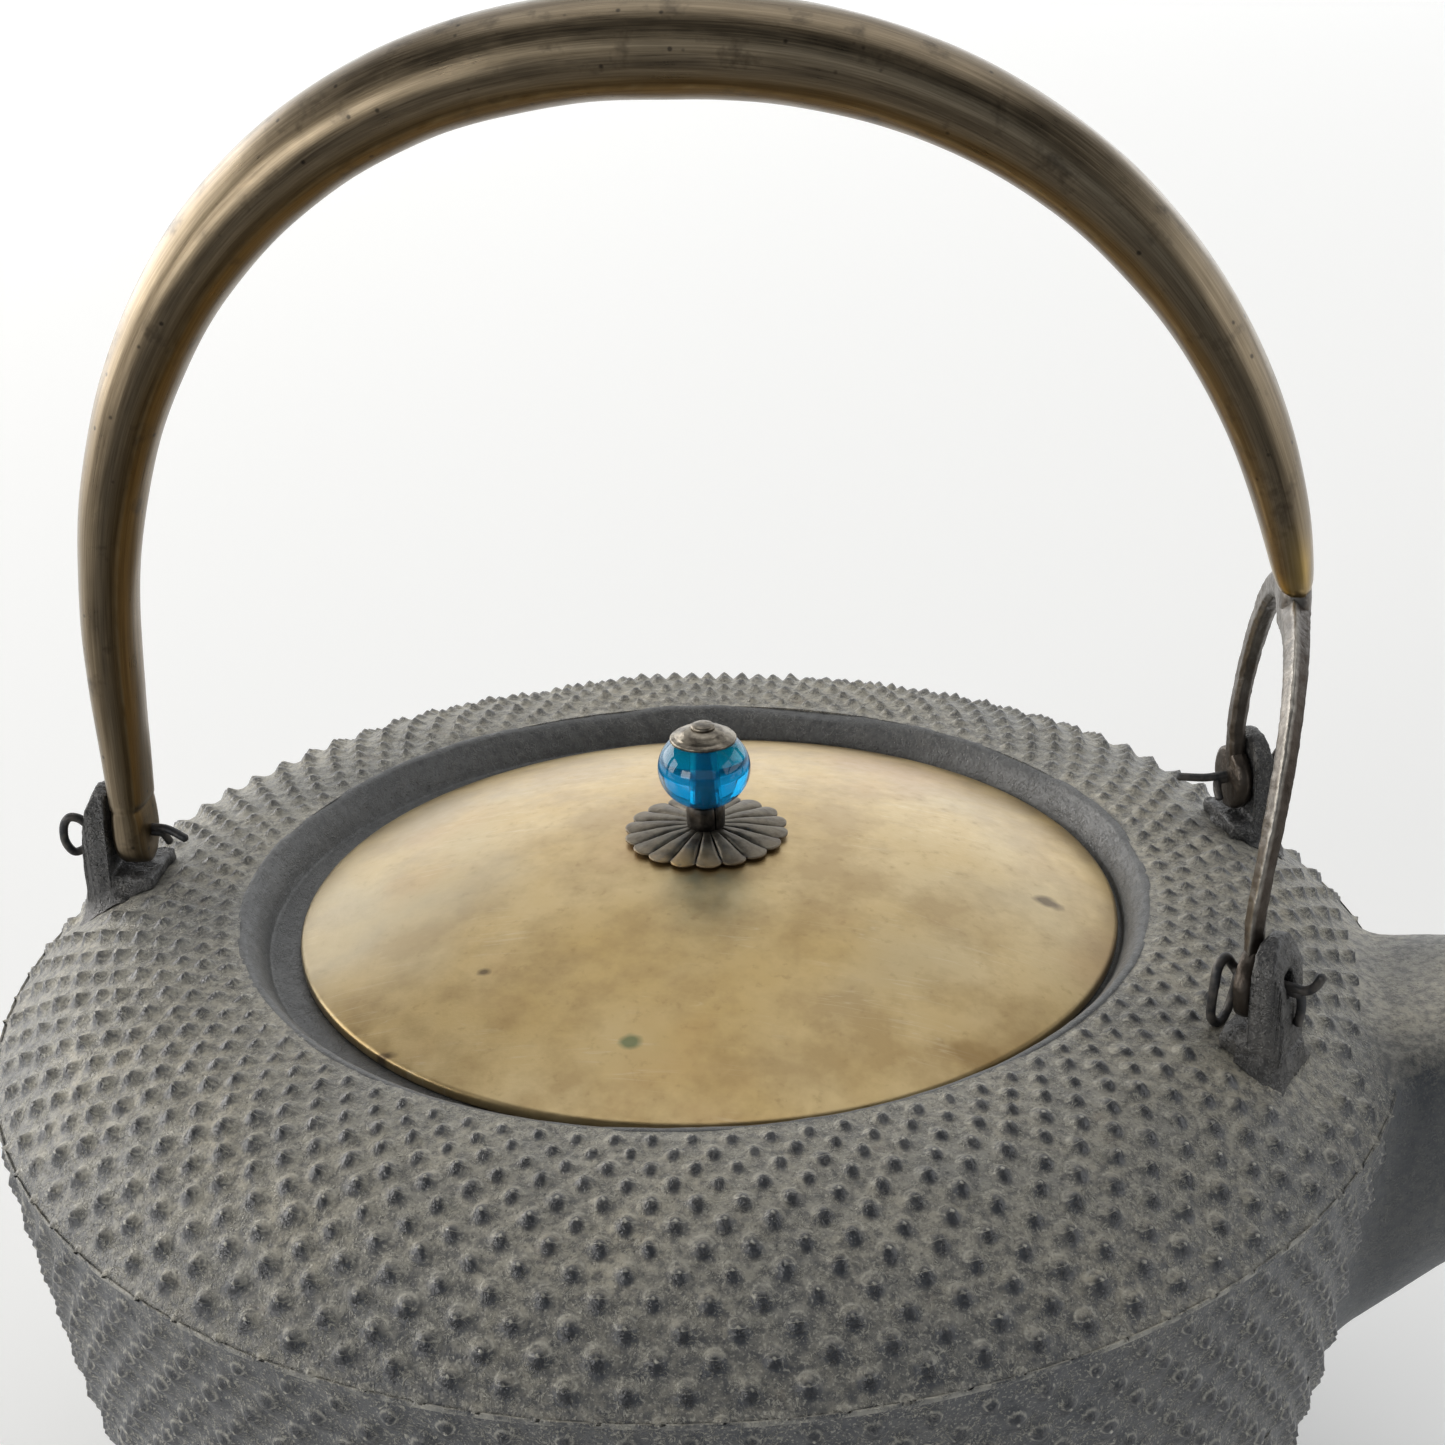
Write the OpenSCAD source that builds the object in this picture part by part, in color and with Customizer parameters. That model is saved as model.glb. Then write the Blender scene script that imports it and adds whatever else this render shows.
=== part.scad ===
// Cast iron kettle with a hobnailed body, a brass lid and a three-legged bail handle.
// The origin is the centre of the flat base. +X points to the spout, +Z is up.

/* [Kettle body] */
// Height of the mouth rim above the base
body_h = 88; // [80:1:100]
// Radius of the body at the parting ridge
ridge_r = 81.4; // [78:0.5:86]
// Radius of the flat base
base_r = 49; // [44:1:56]
// Wall thickness of the casting
body_wall = 3; // [2.5:0.25:3.5]
// Thickness of the floor
floor_t = 4; // [3:0.5:6]
// How far the shoulder falls from the rim to the ridge
shoulder_drop = 13.1; // [11:0.5:16]
// How late the shoulder turns down, 2 is a parabola
shoulder_power = 2.7; // [2.2:0.1:3.2]
// How much the side draws in evenly between the ridge and the base
side_taper = 12; // [8:1:16]
// How late the side turns in to the base
side_power = 6; // [4:0.5:8]
// How far the parting ridge stands out
ridge_proud = 0.5; // [0.3:0.1:0.9]
// Height of the parting ridge
ridge_h = 1.4; // [1:0.1:2]

/* [Hobnails] */
// Number of hobnails in one ring of the casting
nub_count = 45; // [30:1:60]
// Height of a hobnail
nub_h = 1; // [0.6:0.1:1.4]
// Radius of a hobnail's foot
nub_r = 1.4; // [1:0.1:1.8]
// Distance of the first ring from the mouth's crest
nub_first = 4.6; // [4:0.1:6]
// Distance between two rings on the shoulder
nub_step = 5.2; // [4:0.1:7]
// Distance of the first row below the ridge
nub_side_first = 5.2; // [4:0.1:7]
// Distance between two rows on the side
nub_side_step = 8; // [6:0.1:10]

/* [Mouth] */
// Radius of the crest of the mouth rim
rim_r = 52.3; // [51.5:0.1:53.5]
// Depth of the lid seat below the crest
seat_drop = 3.9; // [3.5:0.1:5]
// How far the funnel draws in from the crest to the lid seat
funnel_in = 2.8; // [2.4:0.1:3.2]
// Width of the ledge between the funnel's foot and the opening
seat_w = 6.2; // [5.6:0.1:7]
// Thickness of the ledge that carries the lid
ledge_t = 3.4; // [3:0.1:4.5]

/* [Spout] */
// Radius of the tip of the spout from the kettle's axis
spout_reach = 127; // [118:1:132]
// Height of the spout's lip above the mouth rim
spout_lip_up = 3.5; // [2:0.5:6]
// Depth of the top of the spout's root below the mouth rim
spout_root_down = 9.2; // [9:0.2:11]
// Depth of the bottom of the spout's root below the mouth rim
spout_keel_down = 58; // [53:1:60]
// Half width of the spout at its root
spout_root_w = 20; // [17:0.5:21]
// Half width of the spout at its tip
spout_tip_w = 7.5; // [7:0.5:9]
// Length of the slanted opening at the tip
spout_mouth_l = 13.5; // [12:0.5:15]
// Wall thickness of the spout
spout_wall = 2.6; // [2:0.2:3]
// Radius of the hole through the body into the spout
spout_hole_r = 10; // [8:0.5:11]

/* [Ears] */
// Distance of the handle's pins in from the parting ridge
ear_inset = 13.8; // [12.4:0.2:15.4]
// Angle of the two ears beside the spout
ear_angle = 22; // [20:1:26]
// Height of the pins above the shoulder
pin_rise = 6.9; // [6.5:0.1:8]
// Radial thickness of a lug at its pin
lug_t = 3.2; // [2.8:0.1:3.6]
// Width of a lug
lug_w = 8.4; // [7.6:0.2:9.4]
// Height of a lug above its pin
lug_top = 6; // [5.5:0.1:7]
// How far the outer face of a lug leans in at its top
lug_lean = 1.4; // [0.8:0.1:1.8]
// Radius of the worn hole in a lug
lug_hole_r = 1.6; // [1.3:0.1:1.9]
// Width of the foot on the inner side of the handle's end
ear_step = 0.8; // [0:0.2:1.6]
// Radius of the tenon that holds an ear in the wall
tenon_r = 2.5; // [2:0.1:3]

/* [Handle tube] */
// Height of the handle's centreline above the mouth rim
handle_rise = 96.4; // [88:1:104]
// Height of the straight part of the single leg above its pin
leg_straight = 18.5; // [14:0.5:24]
// Squareness of the arch, 2 is an ellipse
arch_power = 2.2; // [2:0.05:2.4]
// Depth of the tube at the crown
crown_d = 10.9; // [10:0.1:12]
// Width of the tube at the crown
crown_w = 11.6; // [10.5:0.1:12.5]
// Depth of the pinched end at the fork
fork_end_d = 3.4; // [3:0.1:4]
// Depth of the flattened end at the single leg
eye_end_d = 4.2; // [3.8:0.1:4.6]
// Width of both ends of the tube
tube_end_w = 8.2; // [7.4:0.1:9]
// Wall thickness of the brass sheet
tube_wall = 0.9; // [0.6:0.1:1.2]

/* [Fork] */
// Height of the fork's crown above its pins
fork_h = 34.6; // [31:0.2:37]
// Thickness of the fork at its crown
fork_crown_t = 3.2; // [3:0.1:4]
// Thickness of the fork at its eyes
fork_eye_t = 1.9; // [1.7:0.1:2.6]
// Width of the fork's bar at its crown
fork_bar_w = 4.8; // [4:0.1:5.6]
// Width of the fork's legs above their eyes
fork_leg_w = 3; // [2.6:0.1:4]
// Squareness of the fork's shoulders, 2 is an ellipse
fork_power = 2.5; // [2:0.1:3]
// Radius of an eye, on the fork and on the single leg
eye_r = 4; // [3.6:0.1:4.2]

/* [Split pins] */
// Radius of the doubled wire of a pin
pin_r = 0.95; // [0.8:0.05:1.1]
// Radius of the wire in the head loop and the tails
wire_r = 0.6; // [0.5:0.05:0.7]
// Radius of the head loop of the left and far pins
loop_r = 2; // [1.8:0.1:2.4]
// Radius of the head loop of the near pin
loop_near_r = 2.4; // [1.8:0.1:2.5]
// Length of a bent tail
tail_l = 4.5; // [3:0.5:6]
// Angle between a tail and the pin
tail_angle = 38; // [25:1:50]

/* [Lid] */
// Play between the lid's edge and the funnel's foot
lid_play = 2; // [1.7:0.1:2.4]
// Thickness of the lid
lid_t = 1.2; // [1:0.1:1.5]
// Rise of the domed lid
dome_h = 9.3; // [7:0.1:11]
// How far the lid lies off the mouth's centre, within its play
lid_shift = 1.6; // [0:0.1:1.8]
// Play between the ring under the lid and the opening
flange_play = 2.3; // [2.1:0.1:3]
// Thickness of the ring under the lid
flange_t = 1.3; // [1:0.1:1.8]
// Depth of the ring below the lid's edge
flange_drop = 7; // [5:0.5:9]

/* [Knob] */
// Radius of the flower washer
flower_r = 9.5; // [8.5:0.1:10.5]
// Number of petals on the flower washer
petals = 18; // [14:1:22]
// Thickness of the flower washer at its edge
flower_t = 0.7; // [0.5:0.1:1]
// Height of the flower washer at its middle
flower_h = 1.3; // [1.1:0.1:1.8]
// Radius of the collar
collar_r = 2.2; // [1.9:0.1:2.6]
// Height of the collar
collar_h = 2.9; // [2:0.1:4]
// Width of the collar's seam
collar_slit = 0.3; // [0.2:0.05:0.5]
// Radius of the glass bead
bead_r = 5.35; // [4.8:0.05:6]
// Half height of the bead's full oval
bead_half_h = 4.7; // [4.2:0.05:5.2]
// Radius of the ground flats at the bead's two ends
bead_flat_r = 1.9; // [1.7:0.05:2.1]
// Radius of the cap on the bead
cap_r = 3.8; // [3.3:0.1:4.2]
// Height of the cap above its edge
cap_h = 1.5; // [1.2:0.1:2]
// Thickness of the cap's edge
cap_edge = 0.4; // [0.3:0.05:0.6]
// Radius of the post
post_r = 1.1; // [0.9:0.05:1.3]
// Radius of the post's riveted top
rivet_r = 1.4; // [1.35:0.05:1.6]
// Height of the post's riveted top and foot
rivet_h = 0.5; // [0.3:0.05:0.8]
// Radius of the washer under the lid
washer_r = 4.5; // [3.5:0.1:6]
// Thickness of the washer under the lid
washer_t = 0.8; // [0.6:0.1:1.2]

/* [Clearances] */
// Gap round a tenon or a spigot that is set in a wall
seat_gap = 0.05; // [0.03:0.01:0.1]
// Gap between a split pin and the holes in the lugs
pin_gap = 0.15; // [0.1:0.05:0.3]
// Gap between an eye and the lug beside it
eye_gap = 0.2; // [0.1:0.05:0.3]
// Gap between the post and the bead
bead_gap = 0.06; // [0.04:0.01:0.1]
// Gap between the cap and the bead
cap_gap = 0.15; // [0.1:0.05:0.25]
// Gap under the soldered ring and round the post in the fixed pieces
solder_gap = 0.03; // [0.02:0.01:0.08]
// Gap between an eye and the ear's floor
floor_gap = 0.5; // [0.3:0.1:0.8]

/* [Hidden] */
$fn = 96;

// ---- heights and places shared by the pieces ----
rim_z = body_h;
ridge_z = rim_z - shoulder_drop;
seat_z = rim_z - seat_drop;
ear_r = ridge_r - ear_inset;
mouth_r = rim_r - funnel_in - seat_w;
lid_r = rim_r - funnel_in - lid_play;
flange_r = mouth_r - flange_play;
pin_z = shoulder_z(ear_r) + pin_rise;
crown_z = rim_z + handle_rise;
spring_z = pin_z + leg_straight;
joint_z = pin_z + fork_h;
crown_over_spring = crown_z - spring_z;
overlap = 1;

// ---- body profile ----
side_steps = 15;
shoulder_steps = 12;
inner_skip = 1;
crest_chamfer = 0.6;

function mix(a, b, k) = a + (b - a) * k;
function unit(v) = v / norm(v);
function turn_in(p, q) = let (d = unit(q - p)) [-d[1], d[0]];
function shoulder_z(r) =
    rim_z - shoulder_drop * pow(max(r - rim_r, 0) / (ridge_r - rim_r), shoulder_power);
function side_r(z) =
    let (k = 1 - z / ridge_z)
    ridge_r - side_taper * k - (ridge_r - side_taper - base_r) * pow(k, side_power);

side_line = [for (i = [0:side_steps]) let (z = ridge_z * i / side_steps) [side_r(z), z]];
shoulder_line = [for (i = [0:shoulder_steps])
    let (r = mix(ridge_r, rim_r, i / shoulder_steps)) [r, shoulder_z(r)]];
// the same two curves, moved in by the wall
side_inner = [for (i = [1:side_steps - inner_skip])
    side_line[i] + body_wall * turn_in(side_line[i - 1], side_line[i])];
shoulder_inner = [for (i = [inner_skip:shoulder_steps])
    shoulder_line[i] + body_wall * turn_in(shoulder_line[i - 1], shoulder_line[i])];

outer_profile = concat(
    [[0, 0]],
    side_line,
    [[ridge_r + ridge_proud, ridge_z + ridge_h / 4], [ridge_r + ridge_proud, ridge_z + ridge_h / 2]],
    [for (p = shoulder_line) if (p[1] > ridge_z + ridge_h) p],
    [[0, rim_z]]);
cavity_profile = concat(
    [[0, floor_t]],
    [for (p = side_inner) if (p[1] > floor_t) p],
    [for (p = shoulder_inner) if (p[0] > rim_r + ledge_t) p],
    [[rim_r, seat_z - ledge_t], [0, seat_z - ledge_t]]);
recess_profile = [[0, rim_z + overlap], [rim_r, rim_z + overlap], [rim_r, rim_z],
    [rim_r - crest_chamfer, rim_z - crest_chamfer], [rim_r - funnel_in, seat_z], [0, seat_z]];

// the rings and rows that fit, and the slope of the casting under a hobnail
nub_sink = 0.4;
nub_probe = 0.5;
nub_rings = floor((ridge_r - rim_r - nub_first - 2 * nub_r) / nub_step) + 1;
nub_lowest = 20;
nub_ear_room = 8.5;
nub_rows = floor((ridge_z - nub_side_first - nub_lowest) / nub_side_step) + 1;
function shoulder_tilt(r) = atan((shoulder_z(r - nub_probe) - shoulder_z(r + nub_probe)) / (2 * nub_probe));
function side_tilt(z) = atan((side_r(z + nub_probe) - side_r(z - nub_probe)) / (2 * nub_probe));
function polar(r, a) = [r * cos(a), r * sin(a)];
function nub_clear(r, a) =
    min([for (b = [180, -ear_angle, ear_angle])
        norm(polar(r, a) - polar(ear_r + lug_t / 2, b))]) > nub_ear_room
    && spout_clear(shoulder_z(r), a, r);
function spout_clear(z, a, r = 0) =
    abs(sin(a)) * ridge_r > spout_root_w + 2 * nub_r || cos(a) < 0
    || z < rim_z - spout_keel_down - 2 * nub_r || (r > 0 && r < ridge_r - spout_bury - 2 * nub_r);

// everything outside the casting, used to seat the spout and the ears on it
module body_outer() {
    rotate_extrude() polygon(outer_profile);
}

// one hobnail, a low four-sided cone that points along +Z
module nub() {
    translate([0, 0, -nub_sink])
        cylinder(r1 = nub_r * (1 + nub_sink / nub_h), r2 = 0, h = nub_h + nub_sink, $fn = 4);
}

// the main hobnails in rings on the shoulder and in rows on the side
module nubs() {
    for (i = [0:nub_rings - 1]) for (j = [0:nub_count - 1])
        let (r = rim_r + nub_first + nub_step * i, a = 360 * (j + (i % 2) / 2) / nub_count)
        if (nub_clear(r, a)) rotate([0, 0, a]) translate([r, 0, shoulder_z(r)])
            rotate([0, shoulder_tilt(r), 0]) nub();
    for (i = [0:nub_rows - 1]) for (j = [0:nub_count - 1])
        let (z = ridge_z - nub_side_first - nub_side_step * i, a = 360 * (j + (i % 2) / 2) / nub_count)
        if (spout_clear(z, a)) rotate([0, 0, a]) translate([side_r(z), 0, z])
            rotate([0, 90 + side_tilt(z), 0]) nub();
}

module kettle_body() {
    color("dimgray") difference() {
        union() {
            body_outer();
            nubs();
        }
        rotate_extrude() polygon(cavity_profile);
        rotate_extrude() polygon(recess_profile);
        translate([0, 0, seat_z - ledge_t - overlap]) cylinder(r = mouth_r, h = ledge_t + 2 * overlap);
        translate([0, 0, spout_hole_z]) rotate([0, 90, 0]) cylinder(r = spout_hole_r, h = ridge_r + overlap);
        for (a = ear_angles) rotate([0, 0, a]) translate([ear_r, 0, ridge_z])
            cylinder(r = tenon_r + seat_gap, h = shoulder_drop + overlap);
    }
}

// ---- lofted and swept shapes ----
// a point of a rounded square or an oval, e = 1 is an oval and a smaller e is squarer
function oval_point(k, sides, e) =
    let (c = cos(360 * k / sides), s = sin(360 * k / sides))
    [sign(c) * pow(abs(c), e), sign(s) * pow(abs(s), e)];
function ring(centre, side, up, half_side, half_up, sides, e_up = 1, e_down = 1) = [
    for (k = [0:sides - 1])
        let (q = oval_point(k + 0.5, sides, k < sides / 2 ? e_up : e_down))
        centre + side * half_side * q[0] + up * half_up * q[1]];

module skin(rings) {
    n = len(rings[0]);
    m = len(rings);
    polyhedron(
        points = [for (r = rings) each r],
        faces = concat(
            [[for (i = [n - 1:-1:0]) i]],
            [[for (i = [0:n - 1]) (m - 1) * n + i]],
            [for (j = [0:m - 2], i = [0:n - 1]) [j * n + i, j * n + (i + 1) % n, (j + 1) * n + (i + 1) % n]],
            [for (j = [0:m - 2], i = [0:n - 1]) [j * n + i, (j + 1) * n + (i + 1) % n, (j + 1) * n + i]]),
        convexity = 6);
}

// ---- spout ----
spout_hole_up = 4;
spout_hole_z = rim_z - (spout_root_down + spout_keel_down) / 2 + spout_hole_up;
spout_steps = 14;
spout_sides = 24;
spout_bury = 9;
spout_top_in = 4;
spout_mouth_angle = 37;
// how far along the two guide points of a curve lie, and how much of its rise each has
top_guides = [[0.5, 0.03], [0.78, 0.4]];
keel_guides = [[0.36, 0.34], [0.72, 0.6]];
// squareness of the section, 1 is an oval, and how late it widens to the root
spout_top_square = 0.42;
spout_keel_square = 0.9;
spout_flare = 1.25;
spout_start_r = ridge_r - spout_bury;
spout_top_start_r = spout_start_r - spout_top_in;
spout_lip = [spout_reach - spout_mouth_l * cos(spout_mouth_angle), rim_z + spout_lip_up];
spout_chin = [spout_reach, rim_z + spout_lip_up - spout_mouth_l * sin(spout_mouth_angle)];
spout_top = guided([spout_top_start_r, rim_z - spout_root_down], spout_lip, top_guides);
spout_keel = guided([spout_start_r - spout_wall, rim_z - spout_keel_down], spout_chin, keel_guides);

function guided(a, b, guides) =
    [a, for (g = guides) [for (j = [0, 1]) mix(a[j], b[j], g[j])], b];

function bezier(p, k) =
    p[0] * pow(1 - k, 3) + 3 * p[1] * k * pow(1 - k, 2) + 3 * p[2] * k * k * (1 - k) + p[3] * pow(k, 3);
function spout_w(k) = mix(spout_tip_w, spout_root_w, pow(1 - min(k, 1), spout_flare));
function spout_ring(k, thinner) =
    let (top = bezier(spout_top, k), low = bezier(spout_keel, k), up = unit(top - low),
        mid = (top + low) / 2)
    ring([mid[0], 0, mid[1]], [0, -1, 0], [up[0], 0, up[1]], spout_w(k) - thinner,
        norm(top - low) / 2 - thinner, spout_sides, spout_top_square, spout_keel_square);

module spout() {
    color("dimgray") difference() {
        skin([for (i = [0:spout_steps]) spout_ring(i / spout_steps, 0)]);
        skin([for (i = [-1:spout_steps + 1]) spout_ring(i / spout_steps, spout_wall)]);
        body_outer();
    }
}

// ---- ears ----
ear_angles = [180, -ear_angle, ear_angle];
lug_round = lug_w / 2;
lug_round_in = 0.7;
ear_floor_z = pin_z - eye_r - floor_gap;
ear_foot = 1.2;
lug_hole_z = pin_z + lug_hole_r - pin_r - pin_gap;

module lug_outline() {
    hull() {
        translate([0, pin_z + lug_top - lug_round]) circle(r = lug_round);
        translate([-lug_round, ridge_z]) square([lug_w, pin_z - ridge_z]);
    }
}

// one ear: a lug outside the handle's end, on a foot that follows the shoulder, with a tenon in the wall
module ear(angle, eye_t) {
    inner = eye_t / 2 + eye_gap;
    outer = inner + lug_t;
    step = eye_t / 2 + ear_step;
    color("dimgray") difference() {
        rotate([0, 0, angle]) translate([ear_r, 0, 0]) {
            intersection() {
                rotate([90, 0, 90]) linear_extrude(height = outer + ear_foot) lug_outline();
                translate([0, lug_w, 0]) rotate([90, 0, 0]) linear_extrude(height = 2 * lug_w) polygon([
                    [inner, ridge_z], [outer + ear_foot, ridge_z], [outer, pin_z],
                    [outer - lug_lean / 2, pin_z + lug_top / 2], [outer - lug_lean, pin_z + lug_top],
                    [inner + lug_round_in, pin_z + lug_top], [inner, pin_z + lug_top - lug_round_in]]);
            }
            translate([-step, -lug_round, ridge_z]) cube([step + outer, lug_w, ear_floor_z - ridge_z]);
            translate([-step - ear_foot, -lug_round - ear_foot, ridge_z])
                cube([step + outer + 2 * ear_foot, lug_w + 2 * ear_foot, shoulder_z(ear_r) - ridge_z]);
        }
        body_outer();
        rotate([0, 0, angle]) translate([ear_r, 0, lug_hole_z]) rotate([0, 90, 0])
            cylinder(r = lug_hole_r, h = outer + ear_foot + overlap);
    }
    color("dimgray") rotate([0, 0, angle]) translate([ear_r, 0, shoulder_z(ear_r) - body_wall - overlap])
        cylinder(r = tenon_r, h = body_wall + 2 * overlap);
}

module ear_left() { ear(ear_angles[0], eye_end_d); }
module ear_near() { ear(ear_angles[1], fork_eye_t); }
module ear_far() { ear(ear_angles[2], fork_eye_t); }

// ---- handle tube ----
arch_steps = 22;
leg_steps = 4;
tube_sides = 16;
tube_foot_z = pin_z + eye_r;
joint_angle = asin(pow((joint_z - spring_z) / crown_over_spring, arch_power / 2));

function arch_point(t) = [
    sign(cos(t)) * ear_r * pow(abs(cos(t)), 2 / arch_power), 0,
    spring_z + crown_over_spring * pow(max(sin(t), 0), 2 / arch_power)];
// k = 0 at the crown and 1 at the end of the tube
function fork_side_d(k) = mix(fork_end_d, crown_d, sqrt(1 - k));
function leg_side_d(k) = mix(eye_end_d, crown_d, cos(90 * k));
function fork_side_w(k) = mix(tube_end_w, crown_w, sqrt(1 - k));
function leg_side_w(k) = mix(tube_end_w, crown_w, cos(90 * k));
function arch_out(t) = unit([cos(t) / ear_r, 0, sin(t) / crown_over_spring]);
leg_share = 0.85;
function tube_ring(centre, out, d, w, thinner) =
    ring(centre, [0, 1, 0], out, w / 2 - thinner, d / 2 - thinner, tube_sides);
function fork_half(k, thinner) =
    let (t = mix(90, joint_angle, k), out = k < 1 ? arch_out(t) : [1, 0, 0])
    tube_ring(arch_point(t), out, fork_side_d(k), fork_side_w(k), thinner);
function leg_half(k, thinner) =
    let (t = mix(90, 180, min(k / leg_share, 1)), drop = max(k - leg_share, 0) / (1 - leg_share),
        p = arch_point(t), centre = [p[0], 0, mix(p[2], tube_foot_z, drop)])
    tube_ring(centre, arch_out(t), leg_side_d(k), leg_side_w(k), thinner);
fork_hollow = 0.82;
leg_hollow = 0.9;

module handle_tube() {
    color("darkgoldenrod") difference() {
        union() {
            skin(concat(
                [for (i = [arch_steps:-1:0]) fork_half(i / arch_steps, 0)],
                [for (i = [1:arch_steps + leg_steps]) leg_half(i / (arch_steps + leg_steps), 0)]));
            translate([-ear_r - eye_end_d / 2, 0, pin_z]) rotate([0, 90, 0])
                cylinder(r = eye_r, h = eye_end_d);
            translate([-ear_r - eye_end_d / 2, -eye_r, pin_z]) cube([eye_end_d, 2 * eye_r, eye_r]);
        }
        skin(concat(
            [for (i = [arch_steps:-1:0]) fork_half(i / arch_steps * fork_hollow, tube_wall)],
            [for (i = [1:arch_steps]) leg_half(i / arch_steps * leg_hollow, tube_wall)]));
        translate([-ear_r, 0, pin_z]) rotate([0, 90, 0])
            cylinder(r = pin_r + pin_gap, h = eye_end_d + 2 * overlap, center = true);
    }
}

// ---- fork ----
fork_steps = 22;
fork_sides = 8;
fork_lean_from = lug_top + overlap;
fork_lean_power = 1.2;
fork_square = 0.55;
// the share of a leg that is arched, the height where it turns straight, and how late it twists
fork_arched = 0.85;
fork_bend = 0.22;
fork_twist_power = 5;
fork_half_y = ear_r * sin(ear_angle);
fork_eye_x = ear_r * cos(ear_angle);
fork_top_x = arch_point(joint_angle)[0];
fork_bend_z = pin_z + fork_h * fork_bend;
fork_crown_z = joint_z - fork_bar_w / 2;

function fork_x(z) =
    let (k = max(z - pin_z - fork_lean_from, 0) / (fork_crown_z - pin_z - fork_lean_from))
    mix(fork_eye_x, fork_top_x, pow(min(k, 1), fork_lean_power));
function fork_yz(t) = [
    sign(sin(t)) * fork_half_y * pow(abs(sin(t)), 2 / fork_power),
    fork_bend_z + (fork_crown_z - fork_bend_z) * pow(max(cos(t), 0), 2 / fork_power)];
// k runs from -1 at the near eye, over 0 at the crown, to 1 at the far eye
function fork_ring(k) =
    let (a = abs(k), bend = min(a / fork_arched, 1), drop = max(a - fork_arched, 0) / (1 - fork_arched),
        t = 90 * bend * sign(k), q = fork_yz(t), z = mix(q[1], pin_z, drop),
        twist = ear_angle * sign(k) * pow(a, fork_twist_power),
        out = [cos(twist), sin(twist), 0],
        along = unit([0, sin(t), cos(t)]))
    ring([fork_x(z), q[0], z], out, unit(along - out * (along * out)),
        mix(fork_crown_t, fork_eye_t, sqrt(a)) / 2, mix(fork_bar_w, fork_leg_w, sqrt(a)) / 2,
        fork_sides, fork_square, fork_square);

module handle_fork() {
    color("slategray") difference() {
        union() {
            skin([for (i = [-fork_steps:fork_steps]) fork_ring(i / fork_steps)]);
            translate([fork_top_x - fork_end_d / 2, -tube_end_w / 2, fork_crown_z])
                cube([fork_end_d, tube_end_w, fork_bar_w / 2]);
            for (s = [-1, 1]) rotate([0, 0, s * ear_angle]) translate([ear_r - fork_eye_t / 2, 0, pin_z])
                rotate([0, 90, 0]) cylinder(r = eye_r, h = fork_eye_t);
        }
        for (s = [-1, 1]) rotate([0, 0, s * ear_angle]) translate([ear_r, 0, pin_z]) rotate([0, 90, 0])
            cylinder(r = pin_r + pin_gap, h = fork_bar_w + 2 * overlap, center = true);
    }
}

// ---- split pins ----
loop_tilt = 20;

// one pin through the handle's end and the lug, its head loop on one side and its tails on the other
module split_pin(angle, eye_t, head_outside, loop) {
    inner = eye_t / 2 + pin_gap + wire_r;
    outer = eye_t / 2 + eye_gap + lug_t + pin_gap + wire_r;
    head = head_outside ? outer : inner;
    tail = (head_outside ? inner : outer) + wire_r / 2;
    color("darkslategray") rotate([0, 0, angle]) translate([ear_r, 0, pin_z])
        mirror([head_outside ? 1 : 0, 0, 0]) {
            translate([-head, 0, 0]) rotate([0, 90, 0]) cylinder(r = pin_r, h = head + tail);
            translate([-head - loop * sin(loop_tilt), 0, -loop * cos(loop_tilt)])
                rotate([0, 90 + loop_tilt, 0])
                rotate_extrude() translate([loop, 0]) circle(r = wire_r, $fn = 24);
            for (s = [-1, 1]) translate([tail - wire_r / 2, 0, s * (pin_r - wire_r)])
                rotate([0, 90 - s * tail_angle, 0]) cylinder(r = wire_r, h = tail_l);
        }
}

module split_pin_left() { split_pin(ear_angles[0], eye_end_d, true, loop_r); }
module split_pin_near() { split_pin(ear_angles[1], fork_eye_t, false, loop_near_r); }
module split_pin_far() { split_pin(ear_angles[2], fork_eye_t, true, loop_r); }

// ---- lid ----
lid_steps = 20;
lid_edge_z = seat_z + lid_t;
lid_top_z = lid_edge_z + dome_h;
dome_r = (pow(lid_r, 2) + pow(dome_h, 2)) / (2 * dome_h);
lid_seat_w = 1.4;
post_hole_r = post_r + solder_gap;

function dome_z(r) = lid_top_z - dome_r + sqrt(pow(dome_r, 2) - r * r);
function under_z(r) = dome_z(r) - lid_t;

module on_lid_axis() { translate([lid_shift, 0, 0]) children(); }

module lid_plate() {
    color("darkkhaki") on_lid_axis() rotate_extrude() polygon(concat(
        [for (i = [0:lid_steps]) let (r = mix(post_hole_r, lid_r, i / lid_steps)) [r, dome_z(r)]],
        [[lid_r, seat_z], [lid_r - lid_seat_w, seat_z]],
        [for (i = [lid_steps:-1:0]) let (r = mix(post_hole_r, lid_r - 2 * lid_seat_w, i / lid_steps))
            [r, max(under_z(r), seat_z + solder_gap)]]));
}

module lid_ring() {
    outer = flange_r;
    inner = flange_r - flange_t;
    color("darkkhaki") on_lid_axis() rotate_extrude() polygon([
        [inner, seat_z - flange_drop], [outer, seat_z - flange_drop],
        [outer, under_z(outer) - solder_gap], [inner, under_z(inner) - solder_gap]]);
}

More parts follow.
